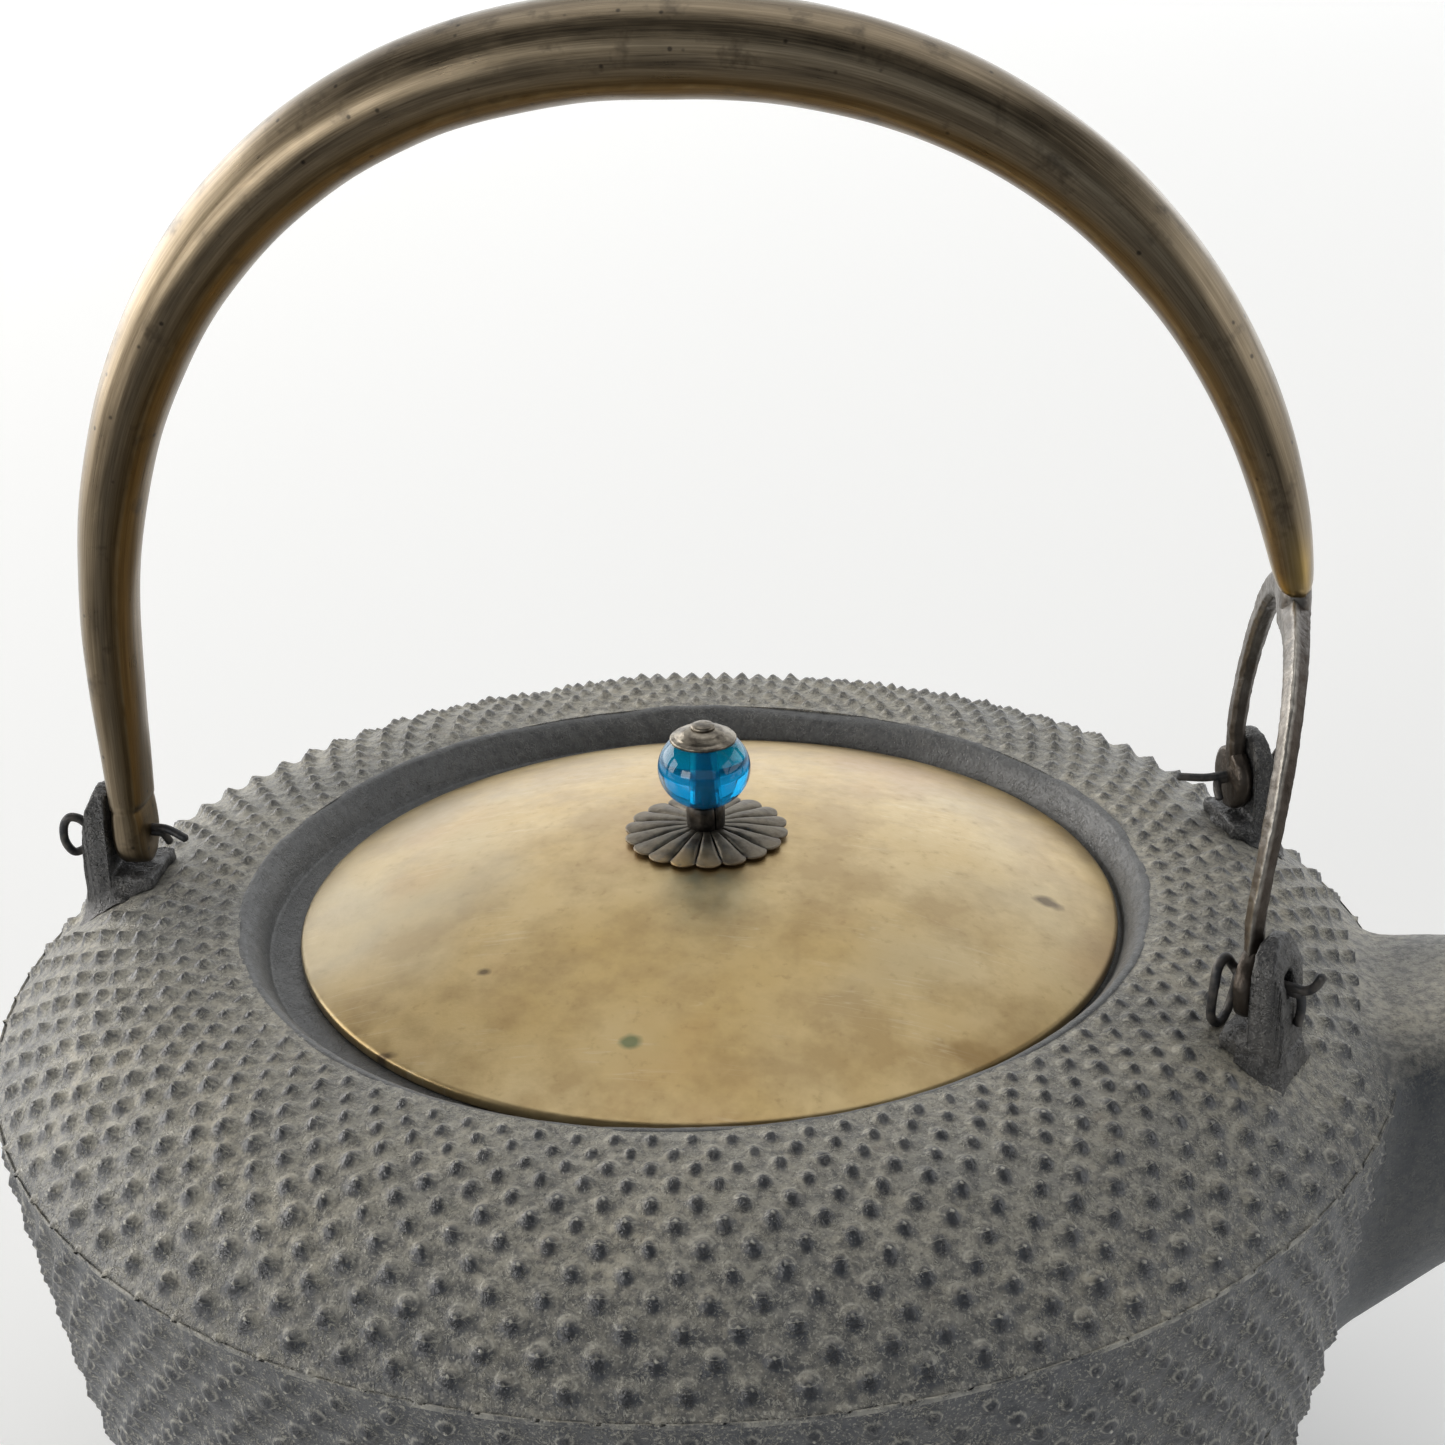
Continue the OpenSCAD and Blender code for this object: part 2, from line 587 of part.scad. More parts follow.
// ---- knob ----
flower_z = lid_top_z;
flower_hub_r = collar_r + 0.6;
flower_hub_fall = 0.1;
flower_fall = 0.2;
petal_swell = 1.15;
slit_angle = -50;
collar_z = flower_z + flower_h;
bead_z = collar_z + collar_h;
bead_flat_h = bead_half_h * sqrt(1 - pow(bead_flat_r / bead_r, 2));
bead_mid_z = bead_z + bead_flat_h;
cap_edge_z = bead_top(cap_r) + cap_gap;
cap_top_z = cap_edge_z + cap_h;
bead_steps = 18;
cap_steps = 6;
washer_z = under_z(washer_r) - solder_gap - washer_t;
petal_r = flower_r * sin(180 / petals) * petal_swell;

function bead_top(r) = bead_mid_z + bead_half_h * sqrt(1 - pow(r / bead_r, 2));

module knob_flower() {
    color("rosybrown") on_lid_axis() intersection() {
        rotate_extrude() polygon([[post_hole_r, flower_z], [flower_hub_r, flower_z],
            [flower_r + overlap, flower_z - flower_t / 2], [flower_r + overlap, flower_z + flower_t / 2],
            [(flower_hub_r + flower_r) / 2, flower_z + flower_h - flower_fall],
            [flower_hub_r, flower_z + flower_h - flower_hub_fall], [collar_r, flower_z + flower_h],
            [post_hole_r, flower_z + flower_h]]);
        translate([0, 0, flower_z - overlap]) linear_extrude(height = flower_h + 2 * overlap) union() {
            circle(r = flower_r - petal_r);
            for (i = [0:petals - 1]) rotate(360 * i / petals) translate([flower_r - petal_r, 0])
                circle(r = petal_r, $fn = 24);
        }
    }
}

module knob_collar() {
    color("dimgray") on_lid_axis() translate([0, 0, collar_z]) difference() {
        cylinder(r = collar_r, h = collar_h);
        translate([0, 0, -overlap]) cylinder(r = post_hole_r, h = collar_h + 2 * overlap);
        rotate([0, 0, slit_angle]) translate([0, -collar_slit / 2, -overlap])
            cube([collar_r + overlap, collar_slit, collar_h + 2 * overlap]);
    }
}

module knob_bead() {
    color("deepskyblue") on_lid_axis() rotate_extrude() polygon(concat(
        [[post_r + bead_gap, bead_z], [bead_flat_r, bead_z]],
        [for (i = [1:bead_steps - 1])
            let (t = mix(-1, 1, i / bead_steps) * asin(bead_flat_h / bead_half_h))
            [bead_r * cos(t), bead_mid_z + bead_half_h * sin(t)]],
        [[bead_flat_r, bead_z + 2 * bead_flat_h], [post_r + bead_gap, bead_z + 2 * bead_flat_h]]));
}

module knob_cap() {
    flat_z = bead_z + 2 * bead_flat_h + cap_gap;
    color("gray") on_lid_axis() rotate_extrude() polygon(concat(
        [[post_hole_r, flat_z], [bead_flat_r, flat_z]],
        [for (i = [1:cap_steps]) let (r = mix(bead_flat_r, cap_r, i / cap_steps)) [r, bead_top(r) + cap_gap]],
        [[cap_r, cap_edge_z + cap_edge]],
        [for (i = [cap_steps:-1:1]) let (k = i / cap_steps, r = mix(rivet_r, cap_r, k))
            [r, mix(cap_top_z, cap_edge_z + cap_edge, k * k)]],
        [[rivet_r, cap_top_z], [post_hole_r, cap_top_z]]));
}

module knob_post() {
    color("gray") on_lid_axis() {
        translate([0, 0, washer_z - rivet_h]) cylinder(r = post_r, h = cap_top_z - washer_z + 2 * rivet_h);
        translate([0, 0, cap_top_z]) cylinder(r = rivet_r, h = rivet_h);
        translate([0, 0, washer_z - rivet_h]) cylinder(r = rivet_r, h = rivet_h);
    }
}

module lid_washer() {
    color("darkkhaki") on_lid_axis() translate([0, 0, washer_z]) difference() {
        cylinder(r = washer_r, h = washer_t);
        translate([0, 0, -overlap]) cylinder(r = post_hole_r, h = washer_t + 2 * overlap);
    }
}

kettle_body();
spout();
ear_left();
ear_near();
ear_far();
lid_plate();
lid_ring();
knob_flower();
knob_collar();
knob_bead();
knob_cap();
knob_post();
lid_washer();
handle_tube();
handle_fork();
split_pin_left();
split_pin_near();
split_pin_far();
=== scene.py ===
import math

import bmesh
import bpy
import numpy as np
from mathutils import Matrix, Vector, noise


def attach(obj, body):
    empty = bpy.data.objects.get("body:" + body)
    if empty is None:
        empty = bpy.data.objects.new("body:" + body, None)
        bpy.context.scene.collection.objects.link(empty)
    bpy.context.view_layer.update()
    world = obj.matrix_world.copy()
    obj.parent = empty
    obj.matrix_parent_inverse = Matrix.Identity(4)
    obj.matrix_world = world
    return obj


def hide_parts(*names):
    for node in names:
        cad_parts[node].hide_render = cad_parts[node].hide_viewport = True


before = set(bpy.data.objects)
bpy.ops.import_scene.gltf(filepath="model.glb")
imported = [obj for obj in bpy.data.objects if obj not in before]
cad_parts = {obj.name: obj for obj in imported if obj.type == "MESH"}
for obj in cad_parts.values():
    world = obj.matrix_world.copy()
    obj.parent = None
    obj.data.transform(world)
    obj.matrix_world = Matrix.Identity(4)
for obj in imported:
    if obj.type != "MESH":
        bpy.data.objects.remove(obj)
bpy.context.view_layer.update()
print("frame loaded")
noise.seed_set(1795469349)  # the same unevenness in every run

mm = 0.001
upward = np.array([0.0, 0.0, 1.0])


def mix(a, b, k):
    return a + (b - a) * k


def unit(v):
    v = np.asarray(v, float)
    return v / np.linalg.norm(v, axis=-1, keepdims=True)


def meshPiece(name, points, faces, material, body, nodes):
    # points in millimetres; the piece rides on a body and stands for the named nodes
    mesh = bpy.data.meshes.new(name)
    mesh.from_pydata((np.asarray(points, float) * mm).tolist(), [], [list(map(int, f)) for f in faces])
    solid = bmesh.new()
    solid.from_mesh(mesh)
    if solid.calc_volume(signed=True) < 0:  # the faces look outwards
        mesh.flip_normals()
    solid.free()
    mesh.update()
    piece = bpy.data.objects.new(name, mesh)
    bpy.context.scene.collection.objects.link(piece)
    return finishPiece(piece, material, body, nodes)


def finishPiece(piece, material, body, nodes):
    piece.data.materials.clear()
    piece.data.materials.append(material)
    piece.data.polygons.foreach_set("use_smooth", [True] * len(piece.data.polygons))
    piece.data.update()
    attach(piece, body)
    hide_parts(*nodes)
    return piece


def joinParts(parts):
    # several (points, faces) become one
    points, faces, start = [], [], 0
    for p, f in parts:
        p = np.asarray(p, float)
        points.append(p)
        faces += [[i + start for i in face] for face in f]
        start += len(p)
    return np.concatenate(points), faces


def ringFaces(rows, columns, closedRows, turnedOver=False):
    # four-sided faces from each ring of points to the next, and from the last to the first if closed
    i, j = np.meshgrid(np.arange(rows if closedRows else rows - 1), np.arange(columns), indexing="ij")
    n, k = (i + 1) % rows, (j + 1) % columns
    corners = [i * columns + j, i * columns + k, n * columns + k, n * columns + j]
    if turnedOver:
        corners = corners[:1] + corners[:0:-1]
    return np.stack(corners, -1).reshape(-1, 4).tolist()


def circle(radius, height, count, centre=(0.0, 0.0)):
    angles = np.linspace(0, 2 * np.pi, count, endpoint=False)
    return [(centre[0] + radius * math.cos(a), centre[1] + radius * math.sin(a), height) for a in angles]


def revolve(profile, columns, closed=True, centre=(0.0, 0.0)):
    # profile of (radius, height); a radius of nought is one point with a fan round it
    points, starts, faces = [], [], []
    for r, z in profile:
        starts.append(len(points))
        points += circle(r, z, columns if r else 1, centre)
    count = len(profile)
    for i in range(count if closed else count - 1):
        n = (i + 1) % count
        a, b = starts[i], starts[n]
        for j in range(columns):
            k = (j + 1) % columns
            if profile[i][0] and profile[n][0]:
                faces.append((a + j, a + k, b + k, b + j))
            elif profile[n][0]:
                faces.append((a, b + k, b + j))
            elif profile[i][0]:
                faces.append((a + j, a + k, b))
    return np.array(points, float), faces


def loft(rings, closedLoop=False):
    # rings of equal length, capped at both ends with a fan unless the loop is closed
    rings = [np.asarray(r, float) for r in rings]
    columns = len(rings[0])
    points = np.concatenate(rings)
    faces = ringFaces(len(rings), columns, closedLoop)
    if not closedLoop:
        first, last = rings[0].mean(0), rings[-1].mean(0)
        n = len(points)
        points = np.vstack([points, first, last])
        end = (len(rings) - 1) * columns
        for j in range(columns):
            k = (j + 1) % columns
            faces.append((n, k, j))
            faces.append((n + 1, end + j, end + k))
    return points, faces


def smoothPath(points, steps):
    # a rounded line through the given points
    p = np.asarray(points, float)
    p = np.vstack([2 * p[0] - p[1], p, 2 * p[-1] - p[-2]])
    out = []
    for i in range(1, len(p) - 2):
        for t in np.linspace(0, 1, steps, endpoint=False):
            a, b, c, d = p[i - 1], p[i], p[i + 1], p[i + 2]
            out.append(0.5 * (2 * b + (c - a) * t + (2 * a - 5 * b + 4 * c - d) * t * t
                              + (3 * b - a - 3 * c + d) * t ** 3))
    out.append(p[-2])
    return np.array(out)


def wire(path, radius, sides, endScale):
    # a round wire along a path, drawn out to endScale of its thickness, with rounded ends
    path = np.asarray(path, float)
    tangent = unit(np.gradient(path, axis=0))
    normal = np.cross(tangent[0], upward)
    if np.linalg.norm(normal) < 0.1:
        normal = np.cross(tangent[0], [0, 1, 0])
    normal = unit(normal)
    rings = []
    endReach, endRadius = 0.45, 0.55  # the last ring, in radii of the wire
    angles = np.linspace(0, 2 * np.pi, sides, endpoint=False)
    for i, (p, t) in enumerate(zip(path, tangent)):
        normal = unit(normal - t * (normal @ t))
        side = np.cross(t, normal)
        r = radius * mix(1.0, endScale, i / (len(path) - 1))
        ring = p + r * (np.cos(angles)[:, None] * normal + np.sin(angles)[:, None] * side)
        if i == 0:
            rings.append(p - t * r * endReach + (ring - p) * endRadius)
        rings.append(ring)
        if i == len(path) - 1:
            rings.append(p + t * r * endReach + (ring - p) * endRadius)
    return loft([r[::-1] for r in rings])


def roughen(points, *layers):
    # small uneven shifts of each point; a layer says how close, how deep in millimetres, and which draw
    out = np.asarray(points, float).copy()
    for scale, depth, draw in layers:
        for i, p in enumerate(out):
            v = noise.noise_vector(Vector(p * scale) + Vector((draw, draw, draw)))
            out[i] = p + np.array(v) * depth
    return out


def storeNumbers(piece, name, values):
    layer = piece.data.attributes.new(name, "FLOAT", "POINT")
    layer.data.foreach_set("value", np.asarray(values, np.float32))


def storeFacingUp(piece):
    # how far each point faces up, 1 for flat ground
    normals = np.empty(len(piece.data.vertices) * 3, np.float32)
    piece.data.vertices.foreach_get("normal", normals)
    storeNumbers(piece, "facingUp", np.maximum(normals[2::3], 0))


def storeVectors(piece, name, values):
    layer = piece.data.attributes.new(name, "FLOAT_VECTOR", "POINT")
    layer.data.foreach_set("vector", np.asarray(values, np.float32).ravel())


class Maker:
    # short ways to add nodes to one material
    def __init__(self, name):
        self.material = bpy.data.materials.new(name)
        self.material.use_nodes = True
        self.tree = self.material.node_tree
        self.shader = self.tree.nodes["Principled BSDF"]
        self.place = self.tree.nodes.new("ShaderNodeTexCoord").outputs["Object"]

    def link(self, a, b):
        self.tree.links.new(a, b)

    def node(self, kind, **inputs):
        n = self.tree.nodes.new(kind)
        for key, value in inputs.items():
            n.inputs[key.replace("_", " ")].default_value = value
        return n

    def stretch(self, scale, source=None, shift=(0, 0, 0)):
        n = self.node("ShaderNodeMapping", Scale=scale, Location=shift)
        self.link(source or self.place, n.inputs["Vector"])
        return n.outputs["Vector"]

    def noise(self, scale, detail=3.0, rough=0.55, source=None, distortion=0.0, shift=0.0):
        n = self.node("ShaderNodeTexNoise", Scale=scale, Detail=detail, Roughness=rough,
                      Distortion=distortion)
        if shift:
            source = self.stretch((1, 1, 1), source, (shift, shift, shift))
        self.link(source or self.place, n.inputs["Vector"])
        return n.outputs["Fac"]

    def cells(self, scale, feature="F1"):
        n = self.node("ShaderNodeTexVoronoi", Scale=scale)
        n.feature = feature
        self.link(self.place, n.inputs["Vector"])
        return n.outputs["Distance"]

    def ramp(self, source, stops):
        n = self.tree.nodes.new("ShaderNodeValToRGB")
        while len(n.color_ramp.elements) > 1:
            n.color_ramp.elements.remove(n.color_ramp.elements[-1])
        n.color_ramp.elements[0].position = stops[0][0]
        for i, (at, value) in enumerate(stops):
            e = n.color_ramp.elements[0] if i == 0 else n.color_ramp.elements.new(at)
            v = (value,) * 3 if isinstance(value, (int, float)) else value
            e.color = (*v, 1)
        self.link(source, n.inputs["Fac"])
        return n.outputs["Color"]

    def blend(self, factor, a, b):
        n = self.tree.nodes.new("ShaderNodeMix")
        n.data_type = "RGBA"
        n.clamp_result = False
        for value, socket in ((factor, n.inputs[0]), (a, n.inputs[6]), (b, n.inputs[7])):
            if isinstance(value, tuple):
                socket.default_value = (*value, 1)
            else:
                self.feed(value, socket)
        return n.outputs[2]

    def stain(self, tone, source, stops, colour):
        # the colour comes through where the source lies between the stops
        return self.blend(self.ramp(source, stops), tone, colour)

    def twoTone(self, source, low, high, dark, light):
        # dark below one value of the source and light above the other
        return self.blend(self.ramp(source, [(low, 0.0), (high, 1.0)]), dark, light)

    def math(self, how, a, b=0.0):
        n = self.tree.nodes.new("ShaderNodeMath")
        n.operation = how
        self.feed(a, n.inputs[0])
        self.feed(b, n.inputs[1])
        return n.outputs[0]

    def feed(self, value, socket):
        if isinstance(value, bpy.types.NodeSocket):
            self.link(value, socket)
        else:
            socket.default_value = value

    def times(self, a, b):
        return self.math("MULTIPLY", a, b)

    def ragged(self, a, source, amount):
        # a value with its edges broken up by a noise
        return self.math("ADD", a, self.times(self.math("SUBTRACT", source, 0.5), amount))

    def vectorMath(self, how, a, b=None):
        n = self.tree.nodes.new("ShaderNodeVectorMath")
        n.operation = how
        self.link(a, n.inputs[0])
        if b is not None:
            n.inputs[1].default_value = b
        return n.outputs["Value" if how == "LENGTH" else "Vector"]

    def spot(self, centre, size, soft, squash=(1, 1, 1)):
        # 1 inside a patch round a point in millimetres, 0 outside, with a ragged edge
        shifted = self.vectorMath("SUBTRACT", self.place, [c * mm for c in centre])
        scaled = self.vectorMath("MULTIPLY", shifted, [1 / (size * mm * s) for s in squash])
        reach = self.ragged(self.vectorMath("LENGTH", scaled), self.noise(500, 2), 0.9)
        return self.ramp(reach, [(1 - soft, 1.0), (1.0, 0.0)])

    def attribute(self, name, output="Fac"):
        n = self.tree.nodes.new("ShaderNodeAttribute")
        n.attribute_name = name
        return n.outputs[output]

    def colour(self, source):
        self.link(source, self.shader.inputs["Base Color"])

    def roughness(self, source):
        self.link(source, self.shader.inputs["Roughness"])

    def bump(self, source, strength, distance):
        n = self.node("ShaderNodeBump", Strength=strength, Distance=distance * mm)
        self.link(source, n.inputs["Height"])
        self.link(n.outputs["Normal"], self.shader.inputs["Normal"])

    def set(self, **values):
        for key, value in values.items():
            self.shader.inputs[key.replace("_", " ")].default_value = value
        return self.material


ironLook = {
    "dark": (0.060, 0.061, 0.063),
    "warm": (0.480, 0.440, 0.345),
    "grey": (0.290, 0.282, 0.250),
    "rust": (0.190, 0.140, 0.100),
    "glint": (0.700, 0.670, 0.570),
    # the hobnails' dark cores: worn dark iron with painted shade on their downhill side
    "worn": (0.030, 0.033, 0.040),
    # painted shade on the steep parts
    "steepShade": (0.042, 0.050, 0.065),
    "threads": 0.62,
    "roughness": (0.44, 0.64),
}


def castIron(name, look, grain=1.0):
    m = Maker(name)
    patches = m.noise(60, 4, 0.6)
    fine = m.noise(900, 4, 0.65)
    speck = m.noise(3200, 2, 0.6)
    pits = m.cells(1500)
    tone = m.twoTone(patches, 0.35, 0.65, look["grey"], look["warm"])
    tone = m.stain(tone, fine, [(0.38, 0.70), (0.60, 0.0)], look["dark"])
    tone = m.stain(tone, m.noise(240, 3), [(0.66, 0.0), (0.78, 0.5)], look["rust"])
    tone = m.stain(tone, pits, [(0.06, 0.55), (0.22, 0.0)], look["dark"])
    if "steepShade" in look:  # the steep parts are painted dark as shade, the more the steeper they stand; what faces up keeps the pale dusty tone
        upright = m.ragged(m.attribute("facingUp"), fine, 0.5)
        tone = m.stain(tone, upright, [(0.48, 0.85), (0.92, 0.0)], look["steepShade"])
    # fine raised lines left by the sand, in patches; these lines, specks of the grain and the parting ridge
    # are painted pale in the glint colour as highlights
    wander = m.noise(1050, 2.0, 0.5, distortion=1.1)
    thread = m.ramp(wander, [(0.45, 0.0), (0.49, 1.0), (0.53, 0.0)])
    thread = m.times(thread, m.ramp(m.noise(420, 2), [(0.42, 0.0), (0.56, 1.0)]))
    sparks = m.ramp(speck, [(0.56, 0.0), (0.66, 1.0)])
    edge = m.times(m.attribute("edge"), m.ramp(m.noise(300, 3), [(0.45, 0.0), (0.6, 0.45)]))
    threads = look.get("threads", 0.5)
    for bright in (m.times(thread, threads), m.times(sparks, threads * 0.7), edge):
        tone = m.blend(bright, tone, look["glint"])
    # painted light and shade on a hobnail: its dark core is worn dark iron with painted shade on the downhill
    # side, its pale rim is painted light and its bright tip is worn metal with a painted highlight
    rubbed = m.ramp(m.ragged(m.attribute("hob"), fine, 0.13), [(0.72, 0.0), (0.84, 0.88)])
    tone = m.blend(rubbed, tone, look.get("worn", look["dark"]))
    rim = m.ramp(m.ragged(m.attribute("paintedLitRim"), wander, 0.10), [(0.64, 0.0), (0.70, 0.6), (0.77, 0.0)])
    # the tips are worn bright and carry a painted highlight
    tip = m.ramp(m.ragged(m.attribute("tip"), speck, 0.12), [(0.90, 0.0), (0.97, 1.0)])
    broken = m.ramp(m.noise(800, 2), [(0.40, 0.1), (0.55, 0.75)])
    patchy = m.ramp(m.noise(600, 1), [(0.38, 0.0), (0.56, 0.8)])
    for bright in (m.times(rim, broken), m.times(tip, patchy)):
        tone = m.blend(bright, tone, look["glint"])
    m.colour(tone)
    low, high = look["roughness"]
    m.roughness(m.blend(rubbed, m.ramp(speck, [(0.35, low), (0.65, high)]), (0.30, 0.30, 0.30)))
    height = m.blend(0.45, fine, speck)
    height = m.blend(0.35, height, m.ramp(pits, [(0.0, 0.0), (0.3, 1.0)]))
    height = m.blend(0.30, height, thread)
    m.bump(height, 0.95 * grain, 0.40)
    return m.set(Metallic=0.0, Specular_IOR_Level=0.85)


brassLook = {
    "light": (0.64, 0.50, 0.27),
    "gold": (0.55, 0.39, 0.155),
    "brown": (0.33, 0.215, 0.085),
    "pale": (0.70, 0.62, 0.45),
    "dark": (0.10, 0.065, 0.035),
    "green": (0.16, 0.20, 0.10),
    "film": (0.44, 0.42, 0.34),
    "copper": (0.50, 0.31, 0.15),
}

# marks on the lid: middle, size in millimetres, stretch, colour and strength
lidMarks = [
    ((41.1, -1.3, 88.2), 1.7, (1.2, 0.9, 3), "dark", 0.8),
    ((-1.1, -37.4, 88.9), 1.3, (1.1, 0.9, 3), "green", 0.85),
    ((34.4, -32.0, 86.0), 3.0, (1.3, 0.8, 3), "brown", 0.7),
    ((-19.2, -26.3, 90.1), 0.9, (1, 0.8, 3), "dark", 0.8),
    ((-28.5, -37.1, 85.2), 1.4, (1.8, 0.5, 3), "dark", 0.8),
]


def lidBrass():
    m = Maker("aged lid brass")
    look = brassLook
    cloud = m.noise(95, 5, 0.62)
    fine = m.noise(700, 4, 0.6)
    tone = m.twoTone(m.noise(26, 4, 0.6), 0.36, 0.64, look["gold"], look["light"])
    tone = m.stain(tone, cloud, [(0.40, 0.55), (0.58, 0.0)], look["brown"])
    tone = m.stain(tone, fine, [(0.60, 0.0), (0.72, 0.30)], look["brown"])
    tone = m.stain(tone, m.noise(17, 3, 0.5), [(0.44, 0.0), (0.60, 0.50)], look["film"])  # dull grey in parts
    tone = m.stain(tone, m.noise(38, 3, 0.5, shift=4.0), [(0.52, 0.0), (0.66, 0.45)], look["copper"])
    hair = m.ramp(m.noise(1.0, 2, 0.5, m.stretch((60, 900, 60))), [(0.484, 0.0), (0.50, 0.30), (0.516, 0.0)])
    hair = m.times(hair, m.ramp(m.noise(90, 2), [(0.52, 0.0), (0.62, 1.0)]))
    tone = m.blend(hair, tone, look["pale"])
    for centre, size, squash, colour, amount in lidMarks:
        tone = m.blend(m.times(m.spot(centre, size, 0.6, squash), amount), tone, look[colour])
    m.colour(tone)
    m.roughness(m.ramp(m.blend(0.5, cloud, fine), [(0.35, 0.35), (0.65, 0.50)]))
    m.bump(m.blend(0.5, m.blend(0.5, m.noise(160, 3), fine), m.noise(2400, 2)), 0.16, 0.22)
    return m.set(Metallic=1.0, Coat_Weight=0.35, Coat_Roughness=0.30, Coat_IOR=1.5)


tubeLook = {
    "outer": ((0.190, 0.145, 0.088), (0.285, 0.225, 0.145)),
    # the side towards the lid, painted darker and warmer as shade
    "inner": ((0.125, 0.080, 0.028), (0.205, 0.135, 0.052)),
    "streak": (0.070, 0.046, 0.024),
    "mottle": (0.055, 0.040, 0.024),
    "pit": (0.03, 0.022, 0.015),
    "seam": (0.42, 0.37, 0.27),
    "solder": (0.62, 0.42, 0.13),
}


def tubeBrass():
    m = Maker("aged tube brass")
    look = tubeLook
    along = m.attribute("tubePlace", "Vector")
    streak = m.noise(1.0, 4, 0.65, m.stretch((0.05, 1.6, 1.6), along))
    thin = m.noise(1.0, 3, 0.6, m.stretch((0.12, 5.5, 5.5), along))
    mottle = m.noise(210, 4, 0.65)
    outer, inner = (m.twoTone(streak, 0.36, 0.62, *look[side]) for side in ("outer", "inner"))
    # the side towards the lid is painted darker as shade
    tone = m.blend(m.attribute("inner"), outer, inner)
    tone = m.stain(tone, thin, [(0.36, 0.35), (0.56, 0.0)], look["streak"])
    tone = m.stain(tone, mottle, [(0.58, 0.0), (0.72, 0.7)], look["mottle"])
    tone = m.stain(tone, m.cells(330), [(0.05, 0.8), (0.11, 0.0)], look["pit"])
    for layer in ("seam", "solder"):
        tone = m.blend(m.attribute(layer), tone, look[layer])
    m.colour(tone)
    m.roughness(m.ramp(m.blend(0.5, thin, mottle), [(0.35, 0.26), (0.65, 0.46)]))
    m.bump(m.blend(0.5, thin, m.noise(800, 3)), 0.22, 0.18)
    return m.set(Metallic=1.0, Coat_Weight=0.45, Coat_Roughness=0.28, Coat_IOR=1.5)


forkLook = {
    "dark": (0.13, 0.118, 0.105),
    "light": (0.24, 0.225, 0.205),
    "rust": (0.12, 0.08, 0.05),
    "shade": (0.050, 0.036, 0.026),
    # the ridge: pale with wear and a painted highlight
    "arris": (0.74, 0.70, 0.63),
}


def forkIron():
    m = Maker("hammered fork iron")
    look = forkLook
    dents = m.cells(900, "SMOOTH_F1")
    fine = m.noise(2200, 3, 0.6)
    tone = m.twoTone(m.noise(160, 4, 0.6), 0.38, 0.62, look["dark"], look["light"])
    tone = m.stain(tone, m.noise(300, 3), [(0.60, 0.0), (0.74, 0.6)], look["rust"])
    # painted shade on the outer side and towards the legs' ends, and a painted highlight along the ridge
    tone = m.blend(m.times(m.attribute("shade"), 0.88), tone, look["shade"])
    tone = m.blend(m.attribute("arris"), tone, look["arris"])
    m.colour(tone)
    m.roughness(m.ramp(fine, [(0.35, 0.32), (0.65, 0.5)]))
    m.bump(m.blend(0.35, dents, fine), 0.75, 0.22)
    return m.set(Metallic=0.85)


def darkWire():
    m = Maker("dark pin wire")
    m.colour(m.twoTone(m.noise(700, 3), 0.4, 0.65, (0.040, 0.042, 0.046), (0.12, 0.11, 0.10)))
    m.bump(m.noise(1800, 3), 0.35, 0.12)
    return m.set(Metallic=0.4, Roughness=0.5)


flowerLook = {
    "dark": (0.105, 0.090, 0.070),
    "light": (0.250, 0.225, 0.180),
    "worn": (0.50, 0.34, 0.15),
    "grooveAndShade": (0.035, 0.024, 0.018),
}


def flowerBronze():
    m = Maker("worn flower bronze")
    look = flowerLook
    cloud = m.noise(420, 4, 0.65)
    tone = m.twoTone(cloud, 0.38, 0.62, look["dark"], look["light"])
    worn = m.times(m.attribute("worn"), m.ramp(m.noise(500, 3), [(0.36, 0.2), (0.55, 0.9)]))
    tone = m.blend(worn, tone, look["worn"])
    # dark grooves between the petals, and painted shade on the rim's underside and under the flower
    tone = m.blend(m.attribute("grooveAndShade"), tone, look["grooveAndShade"])
    m.colour(tone)
    m.roughness(m.ramp(cloud, [(0.35, 0.40), (0.65, 0.60)]))
    m.bump(m.noise(1600, 3), 0.4, 0.14)
    return m.set(Metallic=0.7)


def turnedMetal(name, dark, light):
    m = Maker(name)
    m.colour(m.twoTone(m.noise(650, 4), 0.38, 0.62, dark, light))
    m.roughness(m.ramp(m.noise(1500, 3), [(0.35, 0.3), (0.65, 0.5)]))
    m.bump(m.noise(2400, 3), 0.3, 0.1)
    return m.set(Metallic=0.85)


glassLook = {
    "deep": (0.0, 0.25, 0.55),
    "light": (0.002, 0.33, 0.66),
    "bubble": (0.0, 0.04, 0.12),
    "bubbles": ((-1.6, -4.4, 100.0), (-0.9, -4.6, 99.7)),
    "bubbleSize": 0.34,
}


def blueGlass():
    m = Maker("azure bead glass")
    look = glassLook
    tone = m.twoTone(m.noise(150, 2), 0.35, 0.65, look["deep"], look["light"])
    for centre in look["bubbles"]:
        tone = m.blend(m.spot(centre, look["bubbleSize"], 0.4), tone, look["bubble"])
    m.colour(tone)
    return m.set(Roughness=0.05, IOR=1.5, Transmission_Weight=0.68, Metallic=0.0)


bodyIron = castIron("sand cast iron", ironLook)
# the spout's steep sides are painted dark as shade too
spoutIron = castIron("smooth spout iron", dict(ironLook, threads=0.12, steepShade=(0.040, 0.050, 0.064)), 0.55)
